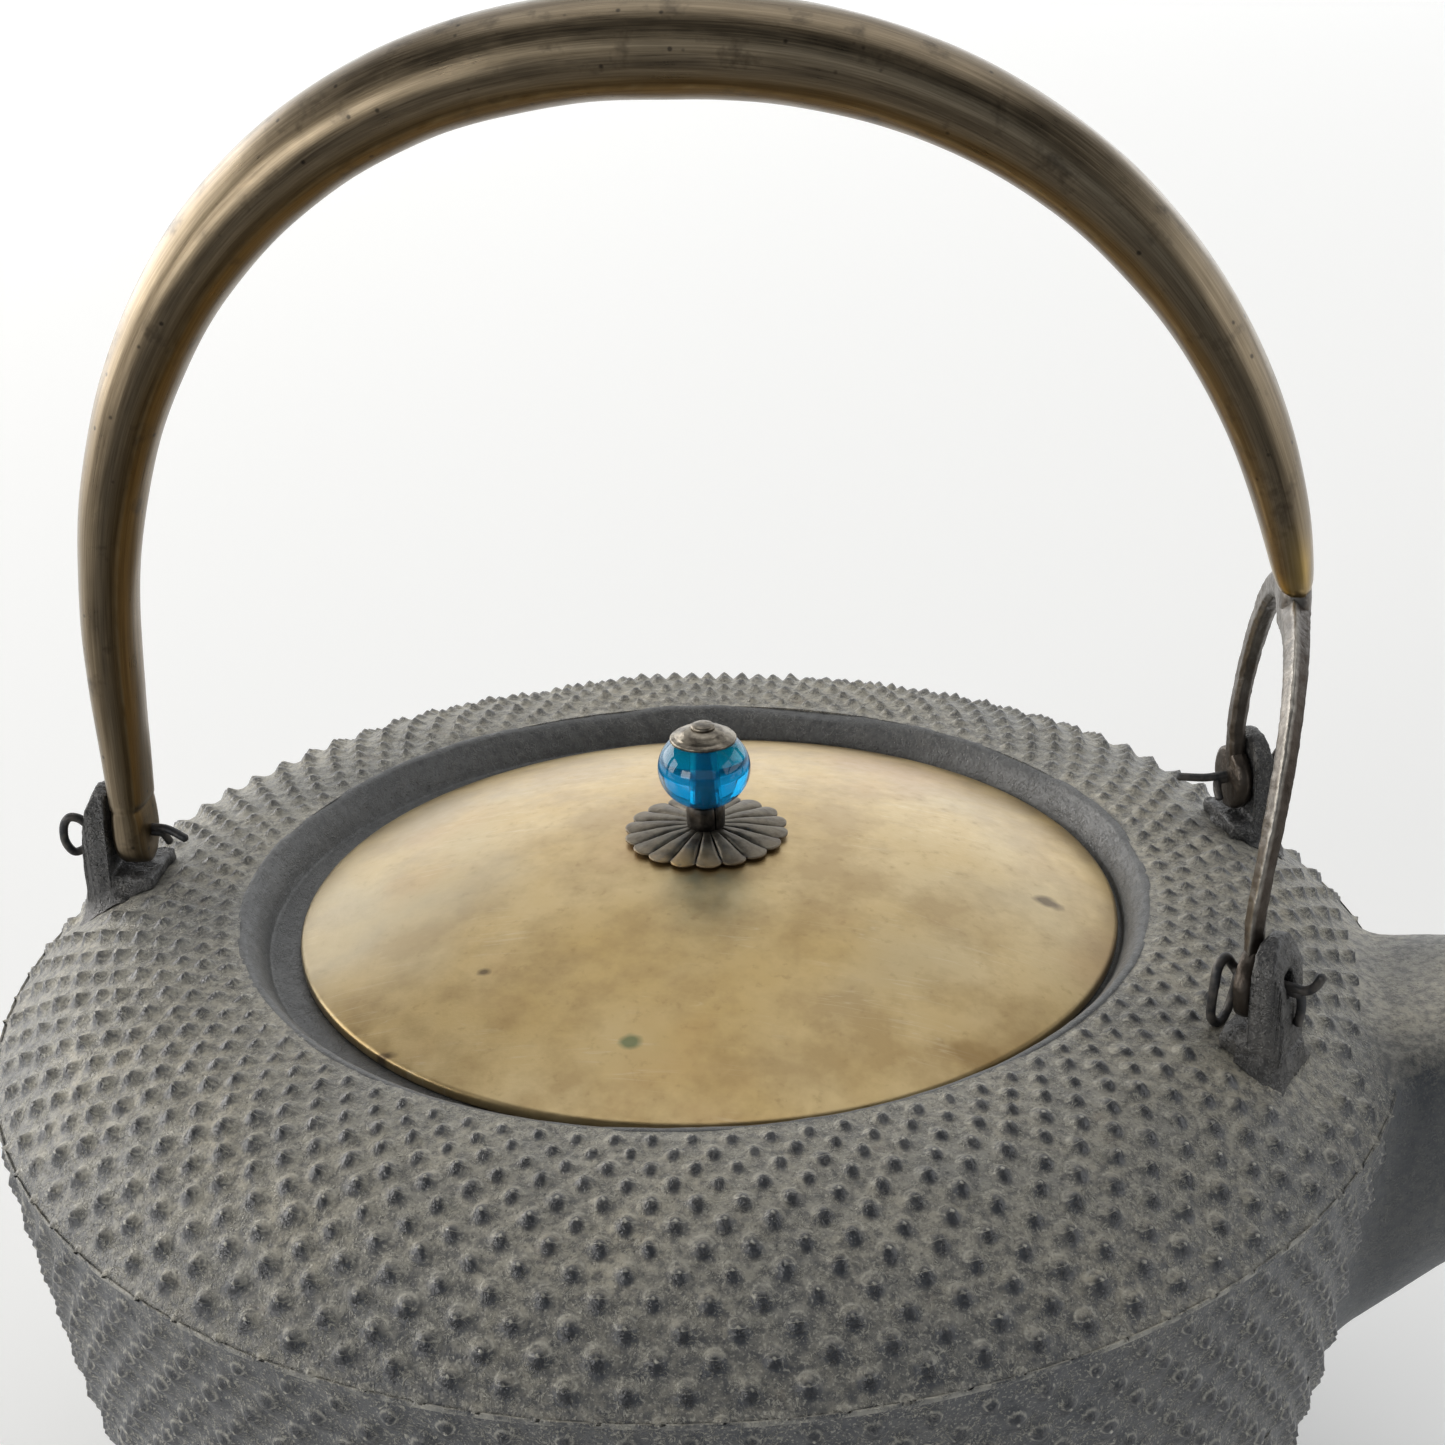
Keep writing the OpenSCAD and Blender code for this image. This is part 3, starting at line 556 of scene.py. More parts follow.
# smooth iron for the mouth, painted darker as shade in the hollow round the lid
shadedMouthIron = castIron("shaded smooth mouth iron", {
    "dark": (0.050, 0.052, 0.055), "warm": (0.135, 0.138, 0.135), "grey": (0.105, 0.110, 0.112),
    "rust": (0.110, 0.090, 0.075), "glint": (0.22, 0.22, 0.21), "roughness": (0.40, 0.58)}, 0.6)
earIron = castIron("rough ear iron", {
    "dark": (0.016, 0.016, 0.018), "warm": (0.100, 0.095, 0.086), "grey": (0.042, 0.043, 0.045),
    "rust": (0.060, 0.040, 0.030), "glint": (0.34, 0.33, 0.31), "roughness": (0.36, 0.62)}, 1.4)
insideIron = castIron("dull inside iron", {
    "dark": (0.018, 0.017, 0.016), "warm": (0.050, 0.042, 0.034), "grey": (0.032, 0.030, 0.028),
    "rust": (0.090, 0.045, 0.025), "glint": (0.06, 0.055, 0.05), "roughness": (0.6, 0.8)})
lidMetal = lidBrass()
tubeMetal = tubeBrass()
forkMetal = forkIron()
pinMetal = darkWire()
flowerMetal = flowerBronze()
collarMetal = turnedMetal("dark collar metal", (0.022, 0.020, 0.018), (0.085, 0.075, 0.065))
capMetal = turnedMetal("turned cap metal", (0.15, 0.13, 0.105), (0.40, 0.36, 0.29))
postMetal = turnedMetal("post metal", (0.12, 0.105, 0.085), (0.34, 0.30, 0.24))
glassBlue = blueGlass()
print("finishes made")


potSize = {
    "rimZ": 88.0, "ridgeR": 81.4, "ridgeDrop": 13.1, "baseR": 49.0, "wall": 3.0, "floor": 4.0,
    "shoulderPower": 2.7, "taper": 12.0, "sidePower": 6.0, "ridgeProud": 0.16,
    "rimR": 52.3, "seatDrop": 3.9, "mouthR": 43.3, "ledge": 3.4, "funnelIn": 2.8, "skin": 1.4,
}
ridgeZ = potSize["rimZ"] - potSize["ridgeDrop"]
seatZ = potSize["rimZ"] - potSize["seatDrop"]


def shoulderZ(r):
    t = np.maximum(np.asarray(r, float) - potSize["rimR"], 0) / (potSize["ridgeR"] - potSize["rimR"])
    return potSize["rimZ"] - potSize["ridgeDrop"] * t ** potSize["shoulderPower"]


def sideR(z):
    k = 1 - np.asarray(z, float) / ridgeZ
    reach = potSize["ridgeR"] - potSize["taper"] - potSize["baseR"]
    return potSize["ridgeR"] - potSize["taper"] * k - reach * np.maximum(k, 0) ** potSize["sidePower"]


def moveIn(line, wall):
    # the same line moved to its left by the wall
    line = np.asarray(line, float)
    d = unit(np.gradient(line, axis=0))
    return line + wall * np.stack([-d[:, 1], d[:, 0]], 1)


# radius and height along the shoulder, by the length of the way from the crest
wayR = np.linspace(potSize["rimR"], potSize["ridgeR"], 2000)
wayZ = shoulderZ(wayR)
wayArc = np.concatenate([[0], np.cumsum(np.hypot(np.diff(wayR), np.diff(wayZ)))])

nubs = {
    "count": 90, "rings": 13, "firstArc": 2.3, "stepArc": 2.27, "stepGrowth": 0.025, "phase": 0.543,
    "twist": 0.014, "sideRows": 19, "sideSplit": 10, "sideFirst": 2.35, "sideStep": 2.95, "sidePhase": 0.46,
    "tipReach": 0.50, "sizeScatter": 0.07, "heightScatter": 0.10, "placeScatter": 0.13, "farthest": 2.375,
    "coreOval": 0.72, "rimUp": 0.2, "rimReach": 3.6, "tipSpread": 3.0,
}
# a hobnail's foot, its hill and its tip, and how far down and how wide its dark core lies: worn dark iron
# with painted shade below the tip
topNub = {"foot": 1.32, "base": 0.60, "tip": 0.36, "coreDown": 0.42, "coreReach": 3.0}
sideNub = {"foot": 1.9, "base": 0.72, "tip": 0.26, "coreDown": 0.20, "coreReach": 4.4}
earSpots = [(180.0, 4.2), (-22.0, 1.9), (22.0, 1.9)]  # angle and thickness of the handle's end
earRadius = 67.6
pinZ = float(shoulderZ(earRadius)) + 6.9


def nubShape(away, nub):
    # height over the distance from a hobnail's middle: a low hill with a small point on it
    hill = nub["base"] * (1 - np.minimum(away / nub["foot"], 1) ** 2.2) ** 1.25
    return hill + nub["tip"] * np.exp(-(away / nubs["tipReach"]) ** 2)


# room left bare round an ear's foot, and round the spout's root
earRoom = {"inwards": 3.2, "outwards": 6.9, "beside": 6.7}
rootRoom = {"from": 60.0, "low": 30.0, "widest": 56.0, "high": 79.2, "half": 20.6}


def earOffset(p, angle):
    # how far a point lies outwards and sideways from an ear's pin
    a = math.radians(angle)
    return p[0] * math.cos(a) + p[1] * math.sin(a) - earRadius, -p[0] * math.sin(a) + p[1] * math.cos(a)


def standsClear(place):
    for angle, thick in earSpots:
        along, across = earOffset(place, angle)
        near = -thick / 2 - earRoom["inwards"] < along < thick / 2 + earRoom["outwards"]
        if near and abs(across) < earRoom["beside"] and place[2] > ridgeZ:
            return False
    r = rootRoom
    if place[0] > r["from"] and r["low"] < place[2] < r["high"]:
        down = min(max(r["widest"] - place[2], 0) / (r["widest"] - r["low"]), 1)
        return abs(place[1]) > r["half"] * math.sqrt(1 - down ** 2)
    return True


castSeed = 3.0
castWaves = [(0.055, 0.34), (0.21, 0.16), (0.75, 0.075), (1.7, 0.05)]  # how close and how deep


def lively(points):
    # the unevenness of a sand casting in millimetres: a slow wave, and finer ones on it
    first, *finer = castWaves
    return np.array([
        sum((depth * noise.noise(Vector(p * scale)) for scale, depth in finer),
            first[1] * noise.noise(Vector(p * first[0]) + Vector((castSeed, 0, 0)))) for p in points])


def raiseNubs(draws, angle, rowPlace, rowKeys, keyRows, perNub, phase, grow, nub):
    # heights and sideways shifts of all points of a grid, and how near each is to a dark core of painted
    # shade, a pale rim of painted light and a tip with a painted highlight
    count, turn = nubs["count"], 2 * np.pi / nubs["count"]
    columns = count * perNub
    j = np.arange(columns)
    height, shiftA, shiftS, hob, paintedLitRim, tip = (np.zeros((len(rowPlace), columns)) for _ in range(6))
    for row, ring, odd in keyRows:
        off = perNub // 2 if odd else 0
        size = grow(ring) * (1 + draws.normal(size=count) * nubs["sizeScatter"])
        tall = grow(ring) * (1 + draws.normal(size=count) * nubs["heightScatter"])
        moveA, moveS = draws.normal(size=(2, count)) * nubs["placeScatter"]
        r, z = rowPlace[row]
        for i in range(count):
            a = angle[row, (i * perNub + off) % columns]
            if not standsClear((r * math.cos(a), r * math.sin(a), z)):
                tall[i] = 0
        which = np.round((j - off) / perNub).astype(int) % count
        across = ((j - off + perNub / 2) % perNub - perNub / 2) / perNub * turn
        width, stands = size[which], (tall[which] > 0) * 1.0
        for n in np.nonzero(np.abs(rowKeys - rowKeys[row]) < nubs["farthest"])[0]:
            drift = (phase(rowKeys[n]) - phase(rowKeys[row])) * turn
            aside, down = (across + drift) * rowPlace[n, 0], rowKeys[n] - rowKeys[row]
            away = np.hypot(aside, down) / width
            height[n] = np.maximum(height[n], nubShape(away, nub) * tall[which])
            # the dark core, worn iron with painted shade, lies a little below the tip on the shaded downhill
            # side, and the pale rim of painted light a little above it
            core = np.hypot(aside, (down - nub["coreDown"]) * nubs["coreOval"]) / width / nub["coreReach"]
            rim = np.hypot(aside, down + nubs["rimUp"]) / width / nubs["rimReach"]
            hob[n] = np.maximum(hob[n], stands * (1 - core))
            paintedLitRim[n] = np.maximum(paintedLitRim[n], stands * (1 - rim - max(down + nubs["rimUp"] / 2, 0)))
            tip[n] = np.maximum(tip[n], stands * (1 - away / nubs["tipSpread"]))
            pull = np.exp(-away ** 2) * stands
            shiftA[n] += pull * moveA[which]
            shiftS[n] += pull * moveS[which]
    return height, shiftA, shiftS, {"hob": hob, "paintedLitRim": paintedLitRim, "tip": tip}


def nubbedShell(name, rowPlace, rowSlope, rowKeys, keyRows, perNub, phase, grow, seed, nub, extraRows=()):
    # a closed ring of casting whose outside is a fine grid with hobnails raised on it
    # rowPlace: (radius, height) of each row, rowSlope: outward tilt of its normal above the horizon
    # rowKeys: length of the way at each row, keyRows: (row, ring number) where hobnails stand
    columns = nubs["count"] * perNub
    rowPlace, rowSlope, rowKeys = (np.asarray(v, float) for v in (rowPlace, rowSlope, rowKeys))
    angle = 2 * np.pi / nubs["count"] * (np.arange(columns)[None, :] / perNub + phase(rowKeys)[:, None])
    height, shiftA, shiftS, layers = raiseNubs(
        np.random.default_rng(seed), angle, rowPlace, rowKeys, keyRows, perNub, phase, grow, nub)
    cosA, sinA = np.cos(angle + shiftA / rowPlace[:, :1]), np.sin(angle + shiftA / rowPlace[:, :1])
    up, out = np.sin(rowSlope)[:, None], np.cos(rowSlope)[:, None]
    r = rowPlace[:, :1] + shiftS * up
    z = rowPlace[:, 1:] - shiftS * out
    base = np.stack([r * cosA, r * sinA, z], -1)
    normal = np.stack([out * cosA, out * sinA, up + 0 * cosA], -1)
    rough = lively(base.reshape(-1, 3)).reshape(height.shape)
    fadeIn = 1.5  # the waves start this far from the shell's edges, so that the shells meet
    calm = np.clip((rowKeys - rowKeys[0]) / fadeIn, 0, 1) * np.clip((rowKeys[-1] - rowKeys) / fadeIn, 0, 1)
    rings = list(base + normal * (height + rough * calm[:, None])[..., None])
    topRows = len(rings)
    for radius, z, ragged in extraRows:  # plain rows that carry on from the last one, fading out by the spout
        a = angle[-1]
        fromSpout = np.abs((np.degrees(a) + 180) % 360 - 180)
        shown = np.clip((fromSpout - 15) / 17, 0, 1)  # gone within 15 degrees, whole from 32 on
        uneven = np.array([noise.noise(Vector((math.cos(t) * 60, math.sin(t) * 60, z))) for t in a]) * ragged
        rr = mix(rowPlace[-1, 0] - 0.12, radius + uneven, shown)
        rings.append(np.stack([rr * np.cos(a), rr * np.sin(a), np.full(columns, z)], -1))
    lastRow = len(rings)
    ends = ((rings[-1], normal[-1]), (rings[0], normal[0]))
    rings += [ring - side * potSize["skin"] for ring, side in ends]
    faces = ringFaces(len(rings), columns, True, True)
    piece = meshPiece(name, np.concatenate(rings), faces, bodyIron, "pot", ["kettle_body"])
    sharpenRows(piece, columns, (0, lastRow - 1))
    plain = np.zeros((len(rings) - topRows) * columns)
    for layer, values in layers.items():
        storeNumbers(piece, layer, np.concatenate([values.ravel(), plain]))
    # the rows of the parting ridge are marked for a pale painted highlight
    edge = np.zeros((len(rings), columns))
    edge[topRows - 1:lastRow] = 1.0 if len(extraRows) else 0.0
    storeNumbers(piece, "edge", edge.ravel())
    storeFacingUp(piece)


def sharpenRows(piece, columns, rows):
    # keeps the hidden back of a shell out of the shading of its front
    ends = np.empty(len(piece.data.edges) * 2, np.int32)
    piece.data.edges.foreach_get("vertices", ends)
    rowOf = ends.reshape(-1, 2) // columns
    sharp = (rowOf[:, 0] == rowOf[:, 1]) & np.isin(rowOf[:, 0], rows)
    layer = piece.data.attributes.new("sharp_edge", "BOOLEAN", "EDGE")
    layer.data.foreach_set("value", sharp)


def buildShoulder():
    n, s = nubs, potSize
    keys = [n["firstArc"] + n["stepArc"] * k + n["stepGrowth"] * k * k for k in range(n["rings"])]
    stop = wayArc[-1] - 0.1
    ways, keyRows = list(np.linspace(0.3, keys[0], 6)[:-1]), []
    counts = [6] * 9 + [7] * (len(keys) - 10) + [3]  # rows of points from each ring to the next
    for k, (here, count) in enumerate(zip(keys, counts)):
        keyRows.append((len(ways), k, k % 2 == 1))
        ways += list(np.linspace(here, (keys + [stop])[k + 1], count, endpoint=False))
    ways.append(stop)
    r = np.interp(ways, wayArc, wayR)
    slope = np.pi / 2 - np.arctan(-np.interp(r, wayR, np.gradient(wayZ, wayR)))
    place = np.stack([r, shoulderZ(r)], 1)

    def grow(ring):
        return 0.6 if ring == n["rings"] - 1 else mix(0.78, 1.0, min(ring / 4, 1))

    # the parting ridge: how far out and up from the pot's widest line, and how ragged
    ridge = [(0.02, 0.42, 0.08), (s["ridgeProud"], 0.22, 0.16), (s["ridgeProud"], -0.02, 0.16),
             (s["ridgeProud"] * 0.4, -0.22, 0.08), (-0.04, -0.34, 0.0)]
    nubbedShell("potShoulder", place, slope, ways, keyRows, 12,
                lambda way: n["phase"] + n["twist"] * np.asarray(way, float), grow, 11, topNub,
                [(s["ridgeR"] + out, ridgeZ + up, ragged) for out, up, ragged in ridge])


def sideRow(down):
    z = ridgeZ - down
    return (float(sideR(z)), z), -math.atan(float(sideR(z + 0.5) - sideR(z - 0.5)))


def buildSide(name, first, last, perNub, steps, start, end, seed):
    n = nubs
    ways, keyRows = [], []
    keys = [n["sideFirst"] + n["sideStep"] * k for k in range(first, last)]

    def rowsTo(way, stop):
        return max(int((stop - way) / n["sideStep"] * steps), 2)

    ways += list(np.linspace(start, keys[0], rowsTo(start, keys[0]), endpoint=False))
    for k, here in enumerate(keys):
        keyRows.append((len(ways), first + k, (first + k) % 2 == 1))
        stop, count = (keys[k + 1], steps) if k + 1 < len(keys) else (end, rowsTo(here, end))
        ways += list(np.linspace(here, stop, count, endpoint=False))
    ways.append(end)
    rows = [sideRow(w) for w in ways]

    def grow(row):
        return 0.85 if row == 0 else mix(1.0, 0.55, max(row - 14, 0) / 5)

    nubbedShell(name, [r[0] for r in rows], [r[1] for r in rows], ways, keyRows, perNub,
                lambda way: n["sidePhase"] + 0 * np.asarray(way, float), grow, seed, sideNub)


def outwards(points):
    return unit(points * np.array([1, 1, 0]) + 1e-9)


def buildMouth():
    s = potSize
    crest = [(1.2, -0.9), (0.55, -0.02), (0.2, -0.01), (-0.15, -0.09), (-0.45, -0.27), (-0.7, -0.55)]
    crest = [(s["rimR"] + r, s["rimZ"] + z) for r, z in crest]
    cove = []
    for k in np.linspace(0.12, 1, 14):  # hollow slope from the crest to the lid's seat
        r = mix(s["rimR"] - 0.6, s["rimR"] - s["funnelIn"], k ** 0.75)
        cove.append((r, mix(s["rimZ"] - 0.6, seatZ, k ** 1.1)))
    under = seatZ - s["ledge"]
    mouth = s["mouthR"]
    ledge = [(s["rimR"] - s["funnelIn"] - 0.4, seatZ), (mouth + 0.4, seatZ), (mouth + 0.1, seatZ - 0.12),
             (mouth, seatZ - 0.4), (mouth, under + 0.3), (mouth + 0.3, under), (s["rimR"] + 1, under)]
    line = [(r, float(shoulderZ(r))) for r in np.linspace(s["ridgeR"], s["rimR"], 24)]
    inner = [(r, z) for r, z in moveIn(line, s["wall"])[::-1] if r > s["rimR"] + s["ledge"] and z > ridgeZ]
    back = [(r, z) for r, z in moveIn(line, s["skin"] + 0.1) if r > s["rimR"] + 2 and z > ridgeZ]
    foot = [(s["ridgeR"] - s["wall"], ridgeZ), (s["ridgeR"] - s["skin"], ridgeZ)]
    points, faces = revolve(crest + cove + ledge + inner + foot + back, 360)
    outer = points[:, 2] > seatZ + 0.3
    rough = lively(points)
    points = points + outwards(points) * (rough * outer * 0.5)[:, None]
    points[:, 2] += rough * (points[:, 2] > s["rimZ"] - 0.5)
    piece = meshPiece("potMouth", points, faces, shadedMouthIron, "pot", ["kettle_body"])
    piece.data.materials.append(insideIron)  # the ledge's underside and the wall below it
    for polygon in piece.data.polygons:
        if polygon.center.z / mm < seatZ - 1.5 and polygon.normal.z < 0.3:
            polygon.material_index = 1


def buildInside():
    s = potSize
    line = [(float(sideR(z)), float(z)) for z in np.linspace(ridgeZ, 0.0, 60)]
    inner = [(r, z) for r, z in moveIn(line, -s["wall"]) if s["floor"] + 0.6 < z < ridgeZ - 0.05]
    back = [(r, z) for r, z in moveIn(line, -s["skin"] - 0.1) if 2.2 < z < ridgeZ - 0.05][::-1]
    start = [(s["ridgeR"] - s["skin"] - 0.1, ridgeZ), (s["ridgeR"] - s["wall"], ridgeZ)]
    floorLine = [(s["baseR"] - 3, s["floor"] + 0.1), (s["baseR"] * 0.45, s["floor"]), (0.0, s["floor"]),
                 (0.0, 2.0), (s["baseR"] - 2, 2.0)]
    points, faces = revolve((start + inner + floorLine + back)[::-1], 240)
    meshPiece("potInside", points, faces, insideIron, "pot", ["kettle_body"])


def buildBase():
    s = potSize
    rim = [(float(sideR(z)), float(z)) for z in np.linspace(16.2, 0.9, 22)]
    foot = [(s["baseR"] - 0.25, 0.35), (s["baseR"] - 0.9, 0.0), (s["baseR"] * 0.5, 0.0), (0.0, 0.0),
            (0.0, 1.9), (s["baseR"] - 3, 1.9)]
    back = [(float(sideR(z)) - s["skin"], float(z)) for z in np.linspace(2.5, 16.2, 10)]
    points, faces = revolve(rim + foot + back, 360)
    fade = np.clip((points[:, 2] - 1.5) / 3, 0, 1)
    points = points + outwards(points) * (lively(points) * fade * 0.6)[:, None]
    storeFacingUp(meshPiece("potBase", points, faces, bodyIron, "pot", ["kettle_body"]))


buildShoulder()
# the lower part of the side has a coarser grid
splitAt = nubs["sideFirst"] + nubs["sideStep"] * (nubs["sideSplit"] - 0.5)
buildSide("potSideUpper", 0, nubs["sideSplit"], 12, 7, -0.1, splitAt, 21)
buildSide("potSideLower", nubs["sideSplit"], nubs["sideRows"], 8, 5, splitAt, ridgeZ - 15.8, 22)
buildMouth()
buildInside()
buildBase()
print("pot built")

spoutSize = {
    "reach": 127.0, "lipUp": 3.5, "rootDown": 9.2, "keelDown": 58.0, "rootW": 20.0, "tipW": 7.5,
    "mouthL": 13.5, "wall": 2.6, "bury": 9.0, "topIn": 4.0, "mouthAngle": 37.0, "topSquare": 0.42,
    "keelSquare": 0.9, "flare": 1.25, "fillet": 2.8, "sunk": 0.7, "sides": 96, "steps": 64,
    "stepSpread": 1.35, "crumble": ((0.22, 0.12, 3.0), (0.8, 0.06, 8.0)),
}
# how far along and how far up the two lines of the spout are drawn from root to lip
topGuides = [(0.5, 0.03), (0.78, 0.4)]
keelGuides = [(0.36, 0.34), (0.72, 0.6)]


def guidedLine(root, lip, guides, k):
    p, q = (np.array([mix(root[j], lip[j], g[j]) for j in (0, 1)]) for g in guides)
    return root * (1 - k) ** 3 + 3 * p * k * (1 - k) ** 2 + 3 * q * k * k * (1 - k) + lip * k ** 3


def squareCircle(angle, square):
    # a point of a circle that is drawn out towards a square as square goes down from 1
    c, n = math.cos(angle), math.sin(angle)
    return math.copysign(abs(c) ** square, c), math.copysign(abs(n) ** square, n)


def spoutPoint(k, angle, thinner):
    s = spoutSize
    rim, start, tilt = potSize["rimZ"], potSize["ridgeR"] - s["bury"], math.radians(s["mouthAngle"])
    lip = np.array([s["reach"] - s["mouthL"] * math.cos(tilt), rim + s["lipUp"]])
    chin = np.array([s["reach"], rim + s["lipUp"] - s["mouthL"] * math.sin(tilt)])
    top = guidedLine(np.array([start - s["topIn"], rim - s["rootDown"]]), lip, topGuides, k)
    low = guidedLine(np.array([start - s["wall"], rim - s["keelDown"]]), chin, keelGuides, k)
    up, mid = unit(top - low), (top + low) / 2
    width = mix(s["tipW"], s["rootW"], (1 - min(k, 1)) ** s["flare"]) - thinner
    tall = np.linalg.norm(top - low) / 2 - thinner
    c, n = squareCircle(angle, s["topSquare"] if math.sin(angle) > 0 else s["keelSquare"])
    return np.array([mid[0] + up[0] * (n * tall), -(c * width), mid[1] + up[1] * (n * tall)])


def potReach(z):
    # radius of the pot's outside at a height
    if z < ridgeZ:
        return float(sideR(z))
    r = np.linspace(potSize["rimR"], potSize["ridgeR"], 300)
    return float(np.interp(-z, -shoulderZ(r), r))


def hollow(reach, gap):
    # how far a round hollow stands out: all its reach where it begins, and nothing where the gap is as wide
    return reach - math.sqrt(max(reach ** 2 - (reach - gap) ** 2, 0))


def blendIn(p, away):
    # near the pot the skin swings out sideways, so that it runs into the casting in a round hollow
    reach = spoutSize["fillet"]
    gap = math.hypot(p[0], p[1]) - potReach(p[2])
    if gap > reach:
        return p
    q = p + away * hollow(reach, max(gap, 0)) * 0.8
    q[:2] *= (potReach(q[2]) + gap) / math.hypot(q[0], q[1])
    return q


def buildSpout():
    s = spoutSize
    angles = 2 * np.pi * (np.arange(s["sides"]) + 0.5) / s["sides"]
    ks = np.linspace(0, 1, 200)
    spread = np.linspace(0, 1, s["steps"]) ** s["stepSpread"]  # closer together at the root
    shells = []
    # the outside and the inside, and how deep in the pot they begin
    for thinner, sink in ((0.0, s["sunk"]), (s["wall"], s["wall"])):
        lines = []
        for a in angles:
            line = np.array([spoutPoint(k, a, thinner) for k in ks])
            clear = [math.hypot(p[0], p[1]) > potReach(p[2]) - sink for p in line]
            first = ks[clear.index(True)]
            line = [spoutPoint(k, a, thinner) for k in mix(first, 1.0, spread)]
            if thinner == 0:
                middle = (spoutPoint(first, math.pi / 2, 0) + spoutPoint(first, -math.pi / 2, 0)) / 2
                away = line[0] - middle
                away[0] = 0
                line = [blendIn(p, unit(away)) for p in line]
            lines.append(line)
        shells.append(np.array(lines).transpose(1, 0, 2))
    outer, inner = shells
    lip = (outer[-1] + inner[-1]) / 2
    out = unit(outer[-1] - outer[-4])
    crown = [outer[-1] + out * 0.35 + (lip - outer[-1]) * 0.3, lip + out * 0.55,
             inner[-1] + out * 0.35 + (lip - inner[-1]) * 0.3]
    points, faces = loft(list(outer) + crown + list(inner[::-1]), closedLoop=True)
    points = roughen(points, *s["crumble"])
    storeFacingUp(meshPiece("spoutHorn", points, faces, spoutIron, "pot", ["spout"]))


buildSpout()
print("spout built")

earFoot = {
    "lug": 4.4, "halfW": 4.0, "corner": 2.6, "innerCorner": 1.04, "innerGap": 0.3, "reach": 2.5,
    "innerReach": 3.125, "tall": 1.1, "sunk": 0.12, "sinkSlope": 1.2, "sinkMost": 0.8,
}
earCast = {"voxel": 0.22, "soften": 0.6, "softenRounds": 7, "coarse": (0.45, 0.30), "fine": (1.6, 0.09)}


def roundFoot(p, angle, thick, uneven):
    # the foot runs out into the pot's shoulder in a hollow curve and its plain outline sinks out of sight
    f = earFoot
    along, across = earOffset(p, angle)
    ground = float(shoulderZ(min(math.hypot(p[0], p[1]), potSize["ridgeR"])))
    outside = max(along - (thick / 2 + f["lug"] - f["corner"]), 0.0)
    inside = max(f["innerCorner"] - f["innerGap"] - thick / 2 - along, 0.0)
    beside = max(abs(across) - (f["halfW"] - f["corner"]), 0.0)
    far = math.hypot(outside + inside, beside) - f["corner"]
    if far <= 0 or p[2] < ground - 0.5:
        return p
    reach = f["innerReach"] if inside > 0 else f["reach"]
    rise = (hollow(reach, min(far, reach)) - f["sunk"]) * f["tall"]
    sunk = min(max(far - reach, 0.0) * f["sinkSlope"], f["sinkMost"])
    return np.array([p[0], p[1], ground + uneven + min(p[2] - ground, rise) - sunk])


def buildEar(node, name, seed, angle, thick):
    piece = bpy.data.objects.new(name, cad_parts[node].data.copy())
    bpy.context.scene.collection.objects.link(piece)
    remesh = piece.modifiers.new("cast", "REMESH")
    remesh.mode = "VOXEL"
    remesh.voxel_size = earCast["voxel"] * mm
    soften = piece.modifiers.new("soften", "SMOOTH")
    soften.factor = earCast["soften"]
    soften.iterations = earCast["softenRounds"]
    made = bpy.data.meshes.new_from_object(piece.evaluated_get(bpy.context.evaluated_depsgraph_get()))
    piece.modifiers.clear()
    piece.data = made
    points = np.empty(len(made.vertices) * 3, np.float32)
    made.vertices.foreach_get("co", points)
    points = points.reshape(-1, 3).astype(float) / mm
    radius = np.minimum(np.hypot(points[:, 0], points[:, 1]), potSize["ridgeR"])
    uneven = lively(np.stack([points[:, 0], points[:, 1], shoulderZ(radius)], 1))
    points = np.array([roundFoot(p, angle, thick, u) for p, u in zip(points, uneven)])
    points = roughen(points, (*earCast["coarse"], seed), (*earCast["fine"], seed + 4))
    made.vertices.foreach_set("co", (points * mm).astype(np.float32).ravel())
    finishPiece(piece, earIron, "pot", [node])


for seed, (node, name, spot) in enumerate(zip(
        ("ear_left", "ear_near", "ear_far"), ("earLeft", "earNear", "earFar"), earSpots), 1):
    buildEar(node, name, float(seed), *spot)

pinSize = {"radius": 0.55, "sides": 14, "thinned": 0.9, "steps": 7}


def earPlace(angle, along, across, up):
    # a point by an ear: outwards, round the pot and above the pin
    a = math.radians(angle)
    r = earRadius + along
    return (r * math.cos(a) - across * math.sin(a), r * math.sin(a) + across * math.cos(a), pinZ + up)


def buildPin(name, node, angle, routes):
    # each route is bent from points: outwards from the ear, round the pot and above the pin's middle
    s, parts = pinSize, []
    for route in routes:
        path = smoothPath([earPlace(angle, *p) for p in route], s["steps"])
        parts.append(wire(path, s["radius"], s["sides"], s["thinned"]))
    points, faces = joinParts(parts)
    meshPiece(name, points, faces, pinMetal, "pot", [node])


# a loop that hangs inside the fork's leg, one tail bent up and one down outside the ear
buildPin("pinNear", "split_pin_near", -22.0, [
    [(-1.5, 0.2, 0.3), (-2.3, 0.3, 1.2), (-2.6, -1.0, 2.6), (-2.9, -2.4, 2.0), (-3.0, -2.9, 0.2),
     (-3.3, -2.7, -2.2), (-3.5, -1.9, -4.4), (-3.2, -0.5, -5.6), (-2.9, 1.2, -5.0), (-2.5, 1.9, -2.8),
     (-1.9, 1.0, -0.6), (-1.4, -0.1, -0.3)],
    [(-1.6, 0, 0.28), (1.0, 0, 0.28), (4.7, 0, 0.28), (5.8, -0.1, 0.3), (6.8, -0.3, 1.1), (7.6, -0.5, 2.6)],
    [(-1.6, 0, -0.28), (1.0, 0, -0.28), (4.7, 0, -0.28), (5.3, 0.1, -0.8), (5.3, 0.4, -2.4),
     (5.0, 0.6, -4.2)]])
